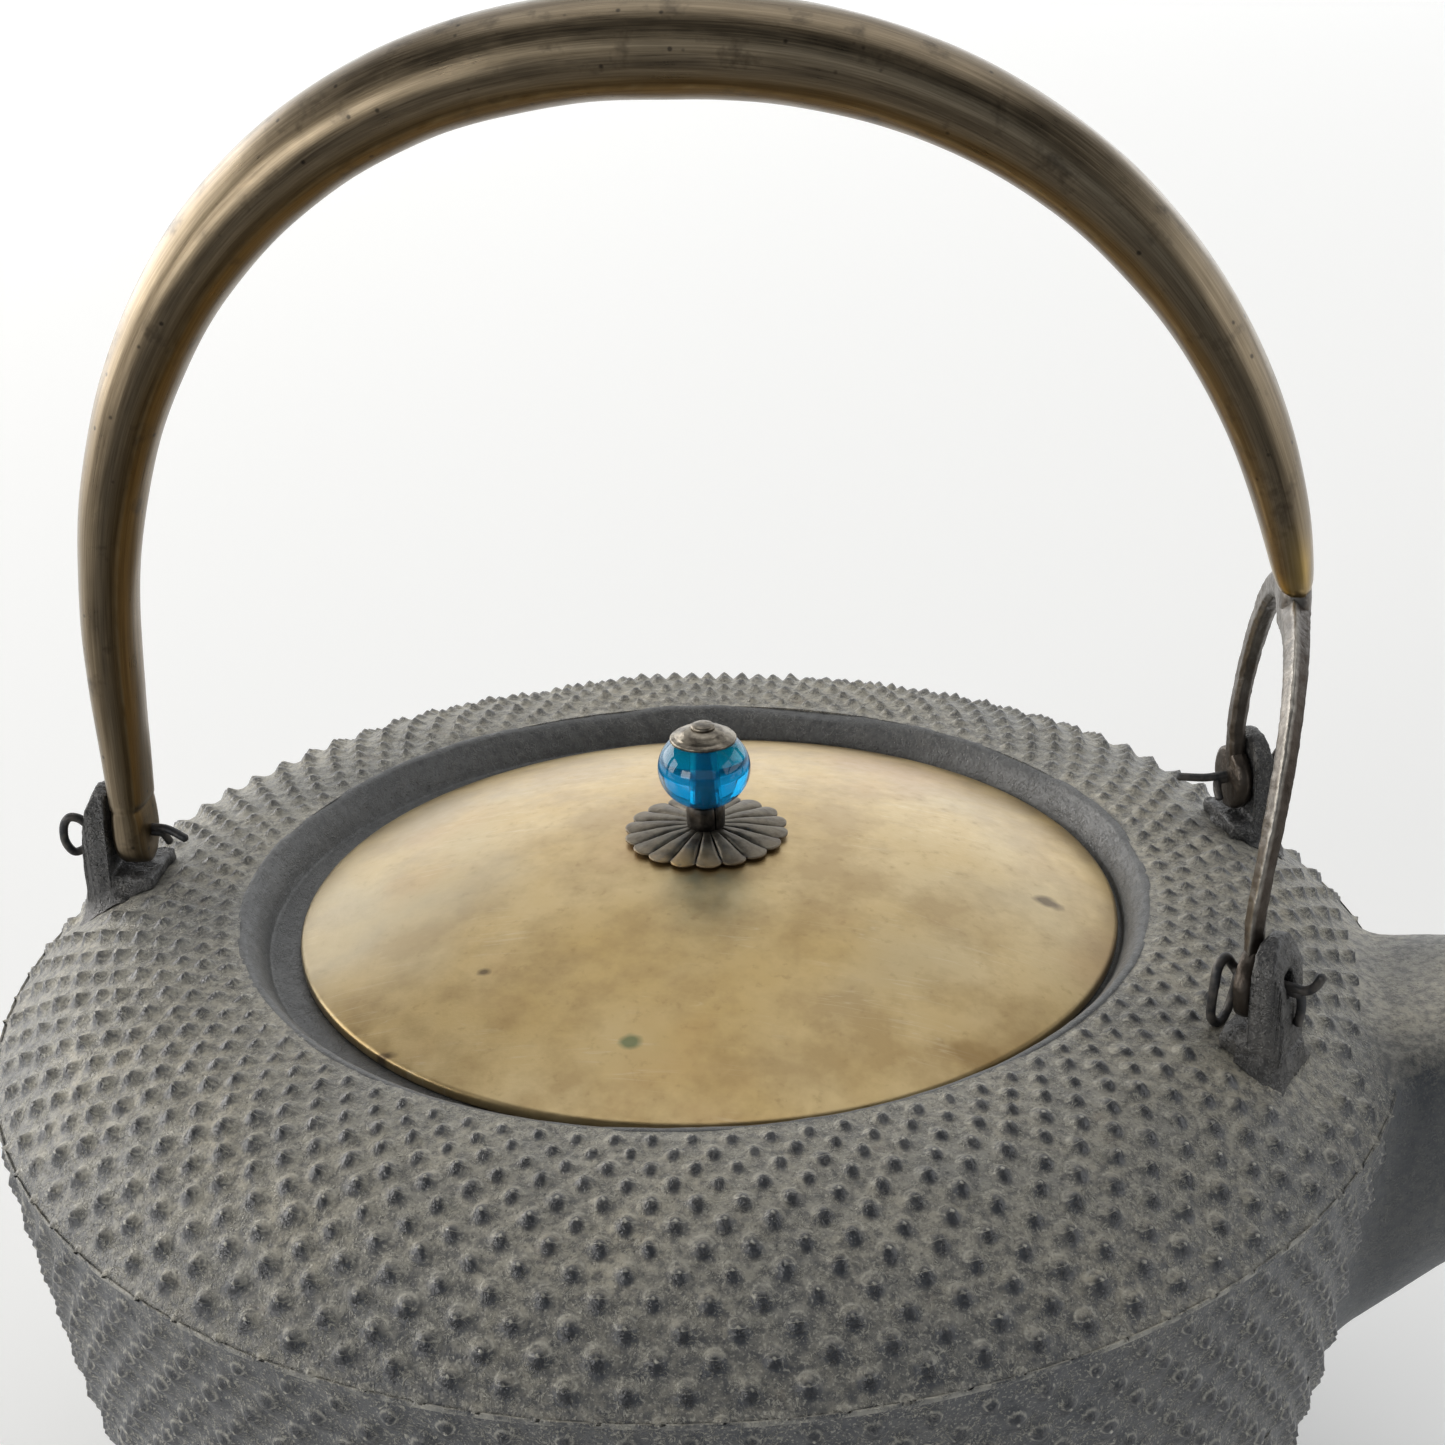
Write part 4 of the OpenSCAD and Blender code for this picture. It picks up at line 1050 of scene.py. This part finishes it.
# the loop outside the ear, a thin tail inside
buildPin("pinLeft", "split_pin_left", 180.0, [
    [(5.9, 0.1, 0.3), (6.8, 0.6, 1.4), (7.9, 0.9, 1.6), (8.7, 0.9, 0.4), (8.8, 0.8, -1.6), (8.1, 0.3, -3.2),
     (7.0, -0.3, -3.0), (6.2, -0.3, -1.6), (5.8, -0.1, -0.3)],
    [(6.0, 0, 0.28), (2.0, 0, 0.28), (-2.4, 0, 0.28), (-4.2, 0.3, 0.2), (-6.4, 0.9, -0.6)],
    [(6.0, 0, -0.28), (2.0, 0, -0.28), (-2.4, 0, -0.28), (-3.2, -0.5, -0.8), (-3.4, -1.4, -2.2)]])
# the loop outside the ear, a long thin tail inside
buildPin("pinFar", "split_pin_far", 22.0, [
    [(5.0, 0.1, 0.3), (5.8, 0.5, 1.8), (6.9, 0.8, 2.6), (7.9, 0.8, 1.6), (8.0, 0.6, -0.8), (7.3, 0.2, -2.8),
     (6.2, -0.3, -2.9), (5.4, -0.3, -1.5), (4.9, -0.1, -0.3)],
    [(5.2, 0, 0.28), (2.0, 0, 0.28), (-1.6, 0, 0.28), (-3.6, 0.4, 0.1), (-6.6, 1.2, 0.3)],
    [(5.2, 0, -0.28), (2.0, 0, -0.28), (-1.6, 0, -0.28), (-2.3, -0.6, -0.9), (-2.4, -1.6, -2.0)]])
print("ears and pins built")

handleSize = {
    "rise": 96.4, "straight": 18.5, "power": 2.2, "crownD": 10.9, "crownW": 11.6, "legShare": 0.85,
    "forkEndD": 3.4, "eyeEndD": 4.2, "endW": 8.2, "eyeR": 4.0, "forkH": 34.6,
    "sides": 64, "seamAt": 128.0, "seamFrom": 8.0, "seamTo": 250.0, "seamWide": 0.06,
    "seamProud": 0.07, "solderTo": 9.0, "wave": 0.10,
}
springZ = pinZ + handleSize["straight"]
jointZ = pinZ + handleSize["forkH"]
archTall = potSize["rimZ"] + handleSize["rise"] - springZ


def archPoint(t):
    p = handleSize["power"]
    c, s = math.cos(t), max(math.sin(t), 0.0)
    return np.array([math.copysign(earRadius * abs(c) ** (2 / p), c), 0.0, springZ + archTall * s ** (2 / p)])


jointTurn = math.asin(((jointZ - springZ) / archTall) ** (handleSize["power"] / 2))


def archOut(t):
    return unit([math.cos(t) / earRadius, 0, math.sin(t) / archTall])


def tubeSection(endDepth, endSquare, fat):
    # depth, width and squareness of the section, from a flattened end (0) to the round crown (1)
    h = handleSize
    square = mix(endSquare, 1.0, min(fat * 2.5, 1))
    return mix(endDepth, h["crownD"], fat), mix(h["endW"], h["crownW"], fat), square


def tubeRings():
    # centre, outward direction and section, from the fork to the eye
    h = handleSize
    upright = 0.03  # the last part by the fork turns upright
    for k in np.linspace(1, 0, 110, endpoint=False):
        t = mix(math.pi / 2, jointTurn, k)
        out = archOut(t)
        if k >= 1 - upright:
            out = unit(mix(out, np.array([1.0, 0, 0]), (k - 1 + upright) / upright))
        yield archPoint(t), out, *tubeSection(h["forkEndD"], 0.72, math.sqrt(1 - k))
    for k in np.linspace(0, 1, 130):
        t = mix(math.pi / 2, math.pi, min(k / h["legShare"], 1))
        p = archPoint(t)
        p[2] = mix(p[2], pinZ + h["eyeR"], max(k - h["legShare"], 0) / (1 - h["legShare"]))
        yield p, archOut(t), *tubeSection(h["eyeEndD"], 0.75, math.cos(math.pi / 2 * k))
    for a in np.radians(range(15, 180, 15)):  # the rounded eye
        half = max(math.sin(a), 0.25)
        centre = np.array([-earRadius, 0, pinZ + h["eyeR"] * math.cos(a)])
        wide = 2 * h["eyeR"] * (1.0 if a < math.pi / 2 else half)
        yield centre, np.array([-1.0, 0, 0]), h["eyeEndD"] * mix(0.75, 1.0, half), wide, 0.62


def buildTube():
    h = handleSize
    rings, places, layers = [], [], {"seam": [], "inner": [], "solder": []}
    run, last = 0.0, None  # length of the way from the fork
    for centre, out, depth, width, square in tubeRings():
        run += 0.0 if last is None else float(np.linalg.norm(centre - last))
        last = centre
        ring = []
        for a in np.linspace(0, 2 * np.pi, h["sides"], endpoint=False):
            c, s = squareCircle(a, square)
            offSeam = abs((a - math.radians(h["seamAt"]) + math.pi) % (2 * math.pi) - math.pi)
            onSeam = max(0.0, 1 - offSeam / h["seamWide"]) if h["seamFrom"] < run < h["seamTo"] else 0.0
            p = centre + out * (c * depth / 2) + np.array([0, -s * width / 2, 0])
            wave = noise.noise(Vector((run * 0.11, a * 1.4, 2.0))) * h["wave"] * min(depth / 6, 1)
            ring.append(p - unit(centre - p) * (wave + onSeam * h["seamProud"]))
            places.append((run, a * 5.6, 0.0))
            layers["inner"].append(min(max(0.5 - 1.6 * math.cos(a - 0.5), 0), 1))  # the side towards the lid, painted darker as shade
            layers["seam"].append(onSeam * (0.45 + 0.55 * noise.noise(Vector((run * 0.5, 0, 7)))))
            drops = max(0.0, 0.5 + 1.1 * noise.noise(Vector((run * 0.35, a * 1.2, 1))))
            layers["solder"].append(max(0.0, 1 - run / h["solderTo"]) * drops)
        rings.append(np.array(ring))
    points, faces = loft(rings)
    piece = meshPiece("handleTube", points, faces, tubeMetal, "pot", ["handle_tube"])
    extra = len(points) - len(places)
    storeVectors(piece, "tubePlace", places + [places[0]] * (extra - 1) + [places[-1]])
    for layer, values in layers.items():
        storeNumbers(piece, layer, values + [0.0] * extra)


buildTube()

forkSize = {
    "crownT": 3.2, "eyeT": 1.9, "barW": 4.8, "legW": 3.0, "power": 2.5, "bend": 0.22, "arched": 0.85,
    "leanFrom": 7.0, "leanPower": 1.2, "twistPower": 5, "dent": 0.10, "eyeR": 4.0, "eyeOval": 0.93,
    "angle": 22.0, "ridgeWide": 0.34,
}
# the bar's section, thickness and width, with a sharp ridge on the outer side
forkSection = np.array([
    (-0.10, 0.50), (-0.50, 0.14), (-0.47, -0.36), (-0.25, -0.50), (0.25, -0.50), (0.47, -0.36), (0.50, 0.14)])
forkAngle = math.radians(forkSize["angle"])
forkY, forkEyeX = earRadius * math.sin(forkAngle), earRadius * math.cos(forkAngle)
forkTopX = float(archPoint(jointTurn)[0])
forkBendZ = pinZ + handleSize["forkH"] * forkSize["bend"]
forkCrownZ = jointZ - forkSize["barW"] / 2
# the root that is brazed to the tube's pinched end: height, width and thickness
forkRoot = [
    (forkCrownZ - 1.2, 6.2, 3.2), (forkCrownZ, 8.6, 3.5), (jointZ - 0.9, 8.4, 3.55), (jointZ + 0.3, 8.0, 3.5),
    (jointZ + 1.0, 7.0, 3.0)]


def forkX(z):
    start = pinZ + forkSize["leanFrom"]
    k = min(max(z - start, 0) / (forkCrownZ - start), 1)
    return mix(forkEyeX, forkTopX, k ** forkSize["leanPower"])


def forkBar():
    # the bent bar, and for each point how bright its ridge is, worn and painted as a highlight, and how dark
    # its outer side is, painted as shade
    f = forkSize
    fine, sharp, outerSide = [], [], []
    count, steps = len(forkSection), 5
    for i in range(count):
        for t in np.linspace(0, 1, steps, endpoint=False):
            fine.append(mix(forkSection[i], forkSection[(i + 1) % count], t))
            near = t if i == 0 else 1 - t
            sharp.append(max(0.0, 1 - near / f["ridgeWide"]) if i in (0, count - 1) else 0.0)
            outerSide.append(1.0 if i >= count - 2 else 0.0)
    rings, arris, shade = [], [], []
    for k in np.linspace(-1, 1, 240):
        a = abs(k)
        sign = 1 if k >= 0 else -1
        bend, drop = min(a / f["arched"], 1), max(a - f["arched"], 0) / (1 - f["arched"])
        t = math.pi / 2 * bend * sign
        y = math.copysign(forkY * abs(math.sin(t)) ** (2 / f["power"]), t)
        z = forkBendZ + (forkCrownZ - forkBendZ) * max(math.cos(t), 0) ** (2 / f["power"])
        z = mix(z, pinZ, drop)
        twist = forkAngle * sign * a ** f["twistPower"]
        out = np.array([math.cos(twist), math.sin(twist), 0])
        away = np.array([0, math.sin(t), math.cos(t)])
        away = unit(away - out * (away @ out))
        heavier = mix(1.12, 1.0, min(a / 0.12, 1))  # the middle of the crown
        thick = mix(f["crownT"], f["eyeT"], math.sqrt(a)) * heavier
        wide = mix(f["barW"], f["legW"], math.sqrt(a)) * heavier
        centre = np.array([forkX(z), y, z])
        rings.append(np.array([centre + out * (u * thick) + away * (v * wide) for u, v in fine]))
        glint = (0.55 + 0.45 * noise.noise(Vector((k * 60, 0, 3)))) * mix(1.0, 0.25, max(a - 0.8, 0) / 0.2)
        arris.append([s * glint for s in sharp])
        # towards their lower ends the legs are painted darker as shade
        low = min(max((a - 0.55) / 0.4, 0), 1) * 0.75
        shade.append([max(s * 0.95, low) + 0.3 * noise.noise(Vector((k * 25, s * 3, 8))) for s in outerSide])
    points, faces = loft([r[::-1] for r in rings])
    points = roughen(points, (0.9, f["dent"], 5.0), (2.6, 0.04, 9.0))
    arris, shade = (np.array(layer)[:, ::-1].ravel() for layer in (arris, shade))
    return points, faces, list(arris), list(np.clip(shade, 0, 1))


def buildFork():
    f = forkSize
    points, faces, arris, shade = forkBar()
    parts = [(points, faces)]
    for side in (-1, 1):  # the flat eyes round the pins
        eye = []
        for u, inset in ((-0.5, 0.6), (-0.42, 0.15), (0.0, 0.0), (0.42, 0.15), (0.5, 0.6)):
            rim = circle(f["eyeR"] - inset, 0, 40)
            eye.append([earPlace(f["angle"] * side, u * f["eyeT"], x * f["eyeOval"], y) for x, y, _ in rim])
        points, faces = loft(eye)
        parts.append((roughen(points, (0.9, f["dent"], 6.0)), faces))
    stub, stubSides = [], 32
    for z, wide, thick in forkRoot:
        corners = [squareCircle(b, 0.6) for b in np.linspace(0, 2 * np.pi, stubSides, endpoint=False)]
        stub.append([(forkTopX + c * thick / 2, s * wide / 2, z) for c, s in corners])
    points, faces = loft(stub)
    parts.append((roughen(points, (0.9, f["dent"], 7.0)), faces))
    points, faces = joinParts(parts)
    piece = meshPiece("handleFork", points, faces, forkMetal, "pot", ["handle_fork"])
    rest, root = len(points) - len(arris), len(stub) * stubSides
    storeNumbers(piece, "arris", arris + [0.0] * rest)
    # the eyes between the ear's lugs are painted dark as shade, and the root a little
    storeNumbers(piece, "shade", shade + [0.8] * (rest - root) + [0.3] * root)


buildFork()
print("handle built")

lidSize = {"r": 47.5, "t": 1.2, "dome": 9.3, "shift": 1.6, "postR": 1.1, "wave": 0.20}
lidTopZ = seatZ + lidSize["t"] + lidSize["dome"]
domeR = (lidSize["r"] ** 2 + lidSize["dome"] ** 2) / (2 * lidSize["dome"])
lidCentre = (lidSize["shift"], 0.0)


def domeZ(r):
    return lidTopZ - domeR + math.sqrt(domeR ** 2 - r * r)


def buildLid():
    s = lidSize
    hole = s["postR"] + 0.03
    top = [(r, domeZ(r)) for r in np.concatenate([np.linspace(hole, s["r"] - 0.5, 70), [s["r"] - 0.15]])]
    edge = [(s["r"], domeZ(s["r"]) - 0.18), (s["r"], seatZ + 0.25), (s["r"] - 0.2, seatZ)]
    under = [(s["r"] - 1.4, seatZ), (s["r"] - 2.8, seatZ + 0.03)]
    under += [(r, max(domeZ(r) - s["t"], seatZ + 0.03)) for r in np.linspace(s["r"] - 3.2, hole, 30)]
    points, faces = revolve((top + edge + under)[::-1], 256, centre=lidCentre)
    for i, p in enumerate(points):  # slow waves that fade out at the edge and under the knob
        off = math.hypot(p[0] - s["shift"], p[1])
        fade = min(max((s["r"] - 1 - off) / 6, 0), 1) * min(off / 12, 1)
        points[i, 2] += noise.noise(Vector(p * 0.055)) * s["wave"] * fade
    meshPiece("lidDome", points, faces, lidMetal, "lid", ["lid_plate"])
    for node in ("lid_ring", "lid_washer"):
        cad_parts[node].data.materials.clear()
        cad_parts[node].data.materials.append(lidMetal)


buildLid()
print("lid built")

knobSize = {
    "flowerR": 9.5, "petals": 18, "petalSteps": 16, "flowerH": 1.3, "flowerT": 0.7,
    "flowerShift": (-0.1, 0.65, 0), "wornAt": 262.0, "wornWide": 26.0,
    "collarR": 2.2, "collarH": 2.9, "slit": 0.3, "slitAngle": -50.0, "boreR": 1.14,
    "beadR": 5.35, "beadHalf": 4.7, "beadFlat": 1.9, "capR": 3.8, "capH": 1.5, "gap": 0.15, "rivetR": 1.4,
}
collarZ = lidTopZ + knobSize["flowerH"]
beadZ = collarZ + knobSize["collarH"]
beadFlatH = knobSize["beadHalf"] * math.sqrt(1 - (knobSize["beadFlat"] / knobSize["beadR"]) ** 2)
beadMid = beadZ + beadFlatH


def beadTop(r):
    return beadMid + knobSize["beadHalf"] * math.sqrt(1 - (r / knobSize["beadR"]) ** 2)


def buildFlower():
    s = knobSize
    columns = s["petals"] * s["petalSteps"]
    angles = np.linspace(0, 2 * np.pi, columns, endpoint=False)
    shares = [0.0, 0.03, 0.08, 0.16, 0.28, 0.42, 0.56, 0.70, 0.82, 0.91, 0.97, 1.0]  # rings from hub to rim
    hub = s["collarR"] - 0.85
    rings, worn, grooveAndShade = [], [], []
    for k in shares:
        ring = []
        for a in angles:
            petal = abs(math.cos(a * s["petals"] / 2))  # 1 in the middle of a petal, 0 in a groove
            full = math.sqrt(max(1 - (1 - petal) ** 2.2, 0))
            r = mix(hub, s["flowerR"] * mix(0.90, 1.0, petal ** 0.55), k)
            swell = math.sin(math.pi * min(k * 1.05, 1)) ** 0.7
            z = lidTopZ + mix(s["flowerH"], s["flowerT"] * 0.45, k ** 1.3) - 0.12 * (1 - k)
            z += (0.62 * full - 0.42) * swell * min(k * 3, 1)
            ring.append((lidCentre[0] + r * math.cos(a), r * math.sin(a), z))
            aside = (math.degrees(a) - s["wornAt"] + 180) % 360 - 180
            rubbed = mix(0.12, 1.0, math.exp(-(aside / s["wornWide"]) ** 2))  # most at one side
            worn.append(max(0.0, (k - 0.45) / 0.55) * max(full - 0.35, 0) * 1.4 * rubbed)
            grooveAndShade.append(max(0.0, 1 - full * 1.7) * min(k * 4, 1))
        rings.append(np.array(ring))
    centre = np.array([lidCentre[0], 0, 0])
    for drop, pull in ((0.22, 0.0), (0.35, 0.6)):  # the rim's edge and underside, down to the lid
        ring = rings[len(shares) - 1] - centre
        ring[:, :2] *= (s["flowerR"] - pull) / s["flowerR"]
        ring[:, 2] = np.maximum(ring[:, 2] - drop, [domeZ(math.hypot(p[0], p[1])) - 0.05 for p in ring])
        rings.append(ring + centre)
    rings.append(np.array(circle(hub, lidTopZ - 0.1, columns, lidCentre)))
    worn += [0.4] * 2 * columns + [0.0] * columns
    # the rim's edge and underside are painted somewhat darker as shade, and the ring under the flower darkest
    grooveAndShade += [0.3] * 2 * columns + [1.0] * columns
    points = roughen(np.concatenate(rings) + np.array(s["flowerShift"]), (0.8, 0.05, 2.0))
    faces = [f[::-1] for f in ringFaces(len(rings), columns, True)]
    piece = meshPiece("knobFlower", points, faces, flowerMetal, "lid", ["knob_flower"])
    storeNumbers(piece, "worn", worn)
    storeNumbers(piece, "grooveAndShade", grooveAndShade)


def knobMetal(name, node, points, faces, material, unevenness):
    meshPiece(name, roughen(points, unevenness), faces, material, "lid", [node])


def buildCollar():
    s = knobSize
    slit, start = s["slit"] / s["collarR"], math.radians(s["slitAngle"])
    outline = [(s["boreR"], 0.0), (2.05, 0.0), (2.18, 0.14), (2.24, 0.8), (2.25, 1.5), (2.24, 2.2),
               (2.18, 2.76), (2.05, s["collarH"]), (s["boreR"], s["collarH"])]
    rings = []
    for a in np.linspace(start + slit / 2, start + 2 * math.pi - slit / 2, 56):
        c, n = math.cos(a), math.sin(a)
        rings.append([(lidCentre[0] + r * c, r * n, collarZ + z) for r, z in outline[::-1]])
    points, faces = loft(rings)
    knobMetal("knobCollar", "knob_collar", points, faces, collarMetal, (1.1, 0.05, 1.0))


def buildBead():
    s = knobSize
    bore, flat, top = lidSize["postR"] + 0.06, s["beadFlat"] - 0.25, beadZ + 2 * beadFlatH
    turn = math.asin(beadFlatH / s["beadHalf"])
    line = [(bore, beadZ + 0.05), (flat, beadZ)]
    for t in np.linspace(-turn, turn, 40):
        line.append((s["beadR"] * math.cos(t), beadMid + s["beadHalf"] * math.sin(t)))
    line += [(flat, top), (bore, top - 0.05)]
    line += [(bore, z) for z in np.linspace(top - 0.5, beadZ + 0.5, 8)]
    points, faces = revolve(line, 96, centre=lidCentre)
    meshPiece("knobBead", points, faces, glassBlue, "bead", ["knob_bead"])


def buildCap():
    s = knobSize
    edgeZ = beadTop(s["capR"]) + s["gap"]
    under = [(r, beadTop(r) + s["gap"]) for r in np.linspace(s["boreR"], s["capR"] - 0.1, 12)]
    # the steps of the cap, inwards and up from its edge
    steps = [(0, 0.06), (0, 0.34), (0.12, 0.46), (0.5, 0.52), (0.62, 0.66), (0.7, 0.82), (1.15, 0.94),
             (1.25, 1.10), (1.7, 1.30)]
    steps = [(s["capR"] - inwards, edgeZ + up) for inwards, up in steps]
    steps += [(s["rivetR"] + 0.3, edgeZ + 1.44), (s["rivetR"], edgeZ + s["capH"])]
    steps.append((s["boreR"], edgeZ + s["capH"]))
    points, faces = revolve(under + steps, 72, centre=lidCentre)
    knobMetal("knobCap", "knob_cap", points, faces, capMetal, (1.0, 0.04, 4.0))


def buildPost():
    s = knobSize
    top = beadTop(s["capR"]) + s["gap"] + s["capH"]
    foot = domeZ(4.5) - lidSize["t"] - 0.83  # under the lid's washer
    rivet = [(0.0, -0.5), (1.0, -0.48), (1.35, -0.3), (1.4, 0), (1.1, 0.02)]
    head = [(1.1, 0), (1.4, 0.02), (1.42, 0.22), (1.25, 0.42), (0.8, 0.49), (0.0, 0.5)]
    shaft = [(r, foot + z) for r, z in rivet] + [(r, top + z) for r, z in head]
    points, faces = revolve(shaft, 48, closed=False, centre=lidCentre)
    knobMetal("knobPost", "knob_post", points, faces, postMetal, (1.4, 0.03, 4.0))


buildFlower()
buildCollar()
buildBead()
buildCap()
buildPost()
print("knob built")

stageLook = {
    "floor": (0.90, 0.90, 0.89), "floorGlow": 0.17, "floorHalf": 12.0, "card": (0.13, 0.13, 0.135),
    "cardSpan": ((-1.6, -2.4), (1.6, -0.17)), "cardUp": 0.002, "world": (0.95, 0.97, 1.0), "worldGlow": 0.03,
}
# each soft panel: place, the point it faces, width and height in metres, glow (1 is white) and colour
panels = {
    "backLow": ((0.0, 2.3, 0.45), (0, 0, 0.3), (4.2, 0.9), 1.65, (0.98, 1.0, 1.02)),
    "backHigh": ((0.0, 2.1, 1.5), (0, 0, 0.1), (4.0, 1.1), 0.96, (1.0, 1.0, 0.99)),
    "left": ((-1.9, 0.5, 0.6), (0, 0.1, 0.1), (2.6, 1.1), 4.2, (1.0, 0.98, 0.95)),
    "right": ((1.9, 0.2, 0.7), (0, 0.1, 0.1), (2.6, 1.1), 1.35, (0.98, 0.99, 1.0)),
    "top": ((0.0, 0.6, 2.1), (0, 0.2, 0), (2.4, 1.6), 1.2, (1.0, 1.0, 1.0)),
    "topFront": ((0.0, -0.9, 1.9), (0, 0, 0.05), (2.4, 1.0), 0.03, (1.0, 1.0, 1.0)),
    "window": ((-1.15, -1.5, 0.38), (0, 0, 0.12), (0.8, 0.7), 5.0, (1.0, 0.98, 0.95)),
    "frontLow": ((0.0, -2.0, 0.6), (0, 0, 0.1), (3.0, 1.0), 0.42, (0.86, 0.93, 1.0)),
}


def flatPlate(name, low, high, up, colour, roughness, glow):
    mesh = bpy.data.meshes.new(name)
    corners = [(low[0], low[1], up), (high[0], low[1], up), (high[0], high[1], up), (low[0], high[1], up)]
    mesh.from_pydata(corners, [], [(0, 1, 2, 3)])
    plate = bpy.data.objects.new(name, mesh)
    bpy.context.scene.collection.objects.link(plate)
    mesh.materials.append(Maker(name + " finish").set(
        Base_Color=(*colour, 1), Roughness=roughness, Emission_Color=(1, 1, 1, 1), Emission_Strength=glow))


def buildStage():
    s = stageLook
    w = s["floorHalf"]
    flatPlate("paleFloor", (-w, -w), (w, w), 0, s["floor"], 0.9, s["floorGlow"])
    flatPlate("darkCard", *s["cardSpan"], s["cardUp"], s["card"], 0.8, 0.0)
    world = bpy.data.worlds.new("studio")
    world.use_nodes = True
    back = world.node_tree.nodes["Background"]
    back.inputs["Color"].default_value = (*s["world"], 1)
    back.inputs["Strength"].default_value = s["worldGlow"]
    bpy.context.scene.world = world
    for name, panel in panels.items():
        softPanel(name, *panel)


def softPanel(name, place, target, size, glow, colour):
    light = bpy.data.lights.new(name, "AREA")
    light.shape = "RECTANGLE"
    light.size, light.size_y = size
    light.energy = glow * size[0] * size[1] * math.pi
    light.color = colour
    lamp = bpy.data.objects.new(name, light)
    lamp.location = place
    lamp.rotation_euler = (Vector(target) - Vector(place)).to_track_quat("-Z", "Y").to_euler()
    bpy.context.scene.collection.objects.link(lamp)


# the camera's place, the point it aims at before it is panned, tilted and rolled, and which way is sideways
view = {
    "place": (0.04494, -0.26727, 0.22761), "aim": (0, 0, 0.088), "pan": -0.746, "tilt": 3.546, "roll": 2.161,
    "lens": 64.775, "sensor": 36, "side": 9.544, "near": 0.01,
}


def buildCamera():
    place = Vector(view["place"])
    side = math.radians(view["side"])
    forward = (Vector(view["aim"]) - place).normalized()
    right = Vector((math.cos(side), math.sin(side), 0))
    up = right.cross(forward)

    def spin(degrees, axis, *directions):
        return [Matrix.Rotation(math.radians(degrees), 3, axis) @ v for v in directions]

    forward, right = spin(view["pan"], up, forward, right)
    forward, up = spin(view["tilt"], right, forward, up)
    right, up = spin(view["roll"], forward, right, up)
    data = bpy.data.cameras.new("view")
    data.lens = view["lens"]
    data.sensor_width = view["sensor"]
    data.clip_start = view["near"]
    camera = bpy.data.objects.new("view", data)
    camera.matrix_world = Matrix((
        (right.x, up.x, -forward.x, place.x), (right.y, up.y, -forward.y, place.y),
        (right.z, up.z, -forward.z, place.z), (0, 0, 0, 1)))
    bpy.context.scene.collection.objects.link(camera)
    bpy.context.scene.camera = camera


buildStage()
buildCamera()
bpy.context.scene.view_settings.view_transform = "Standard"
bpy.context.scene.view_settings.look = "None"
print("stage set")
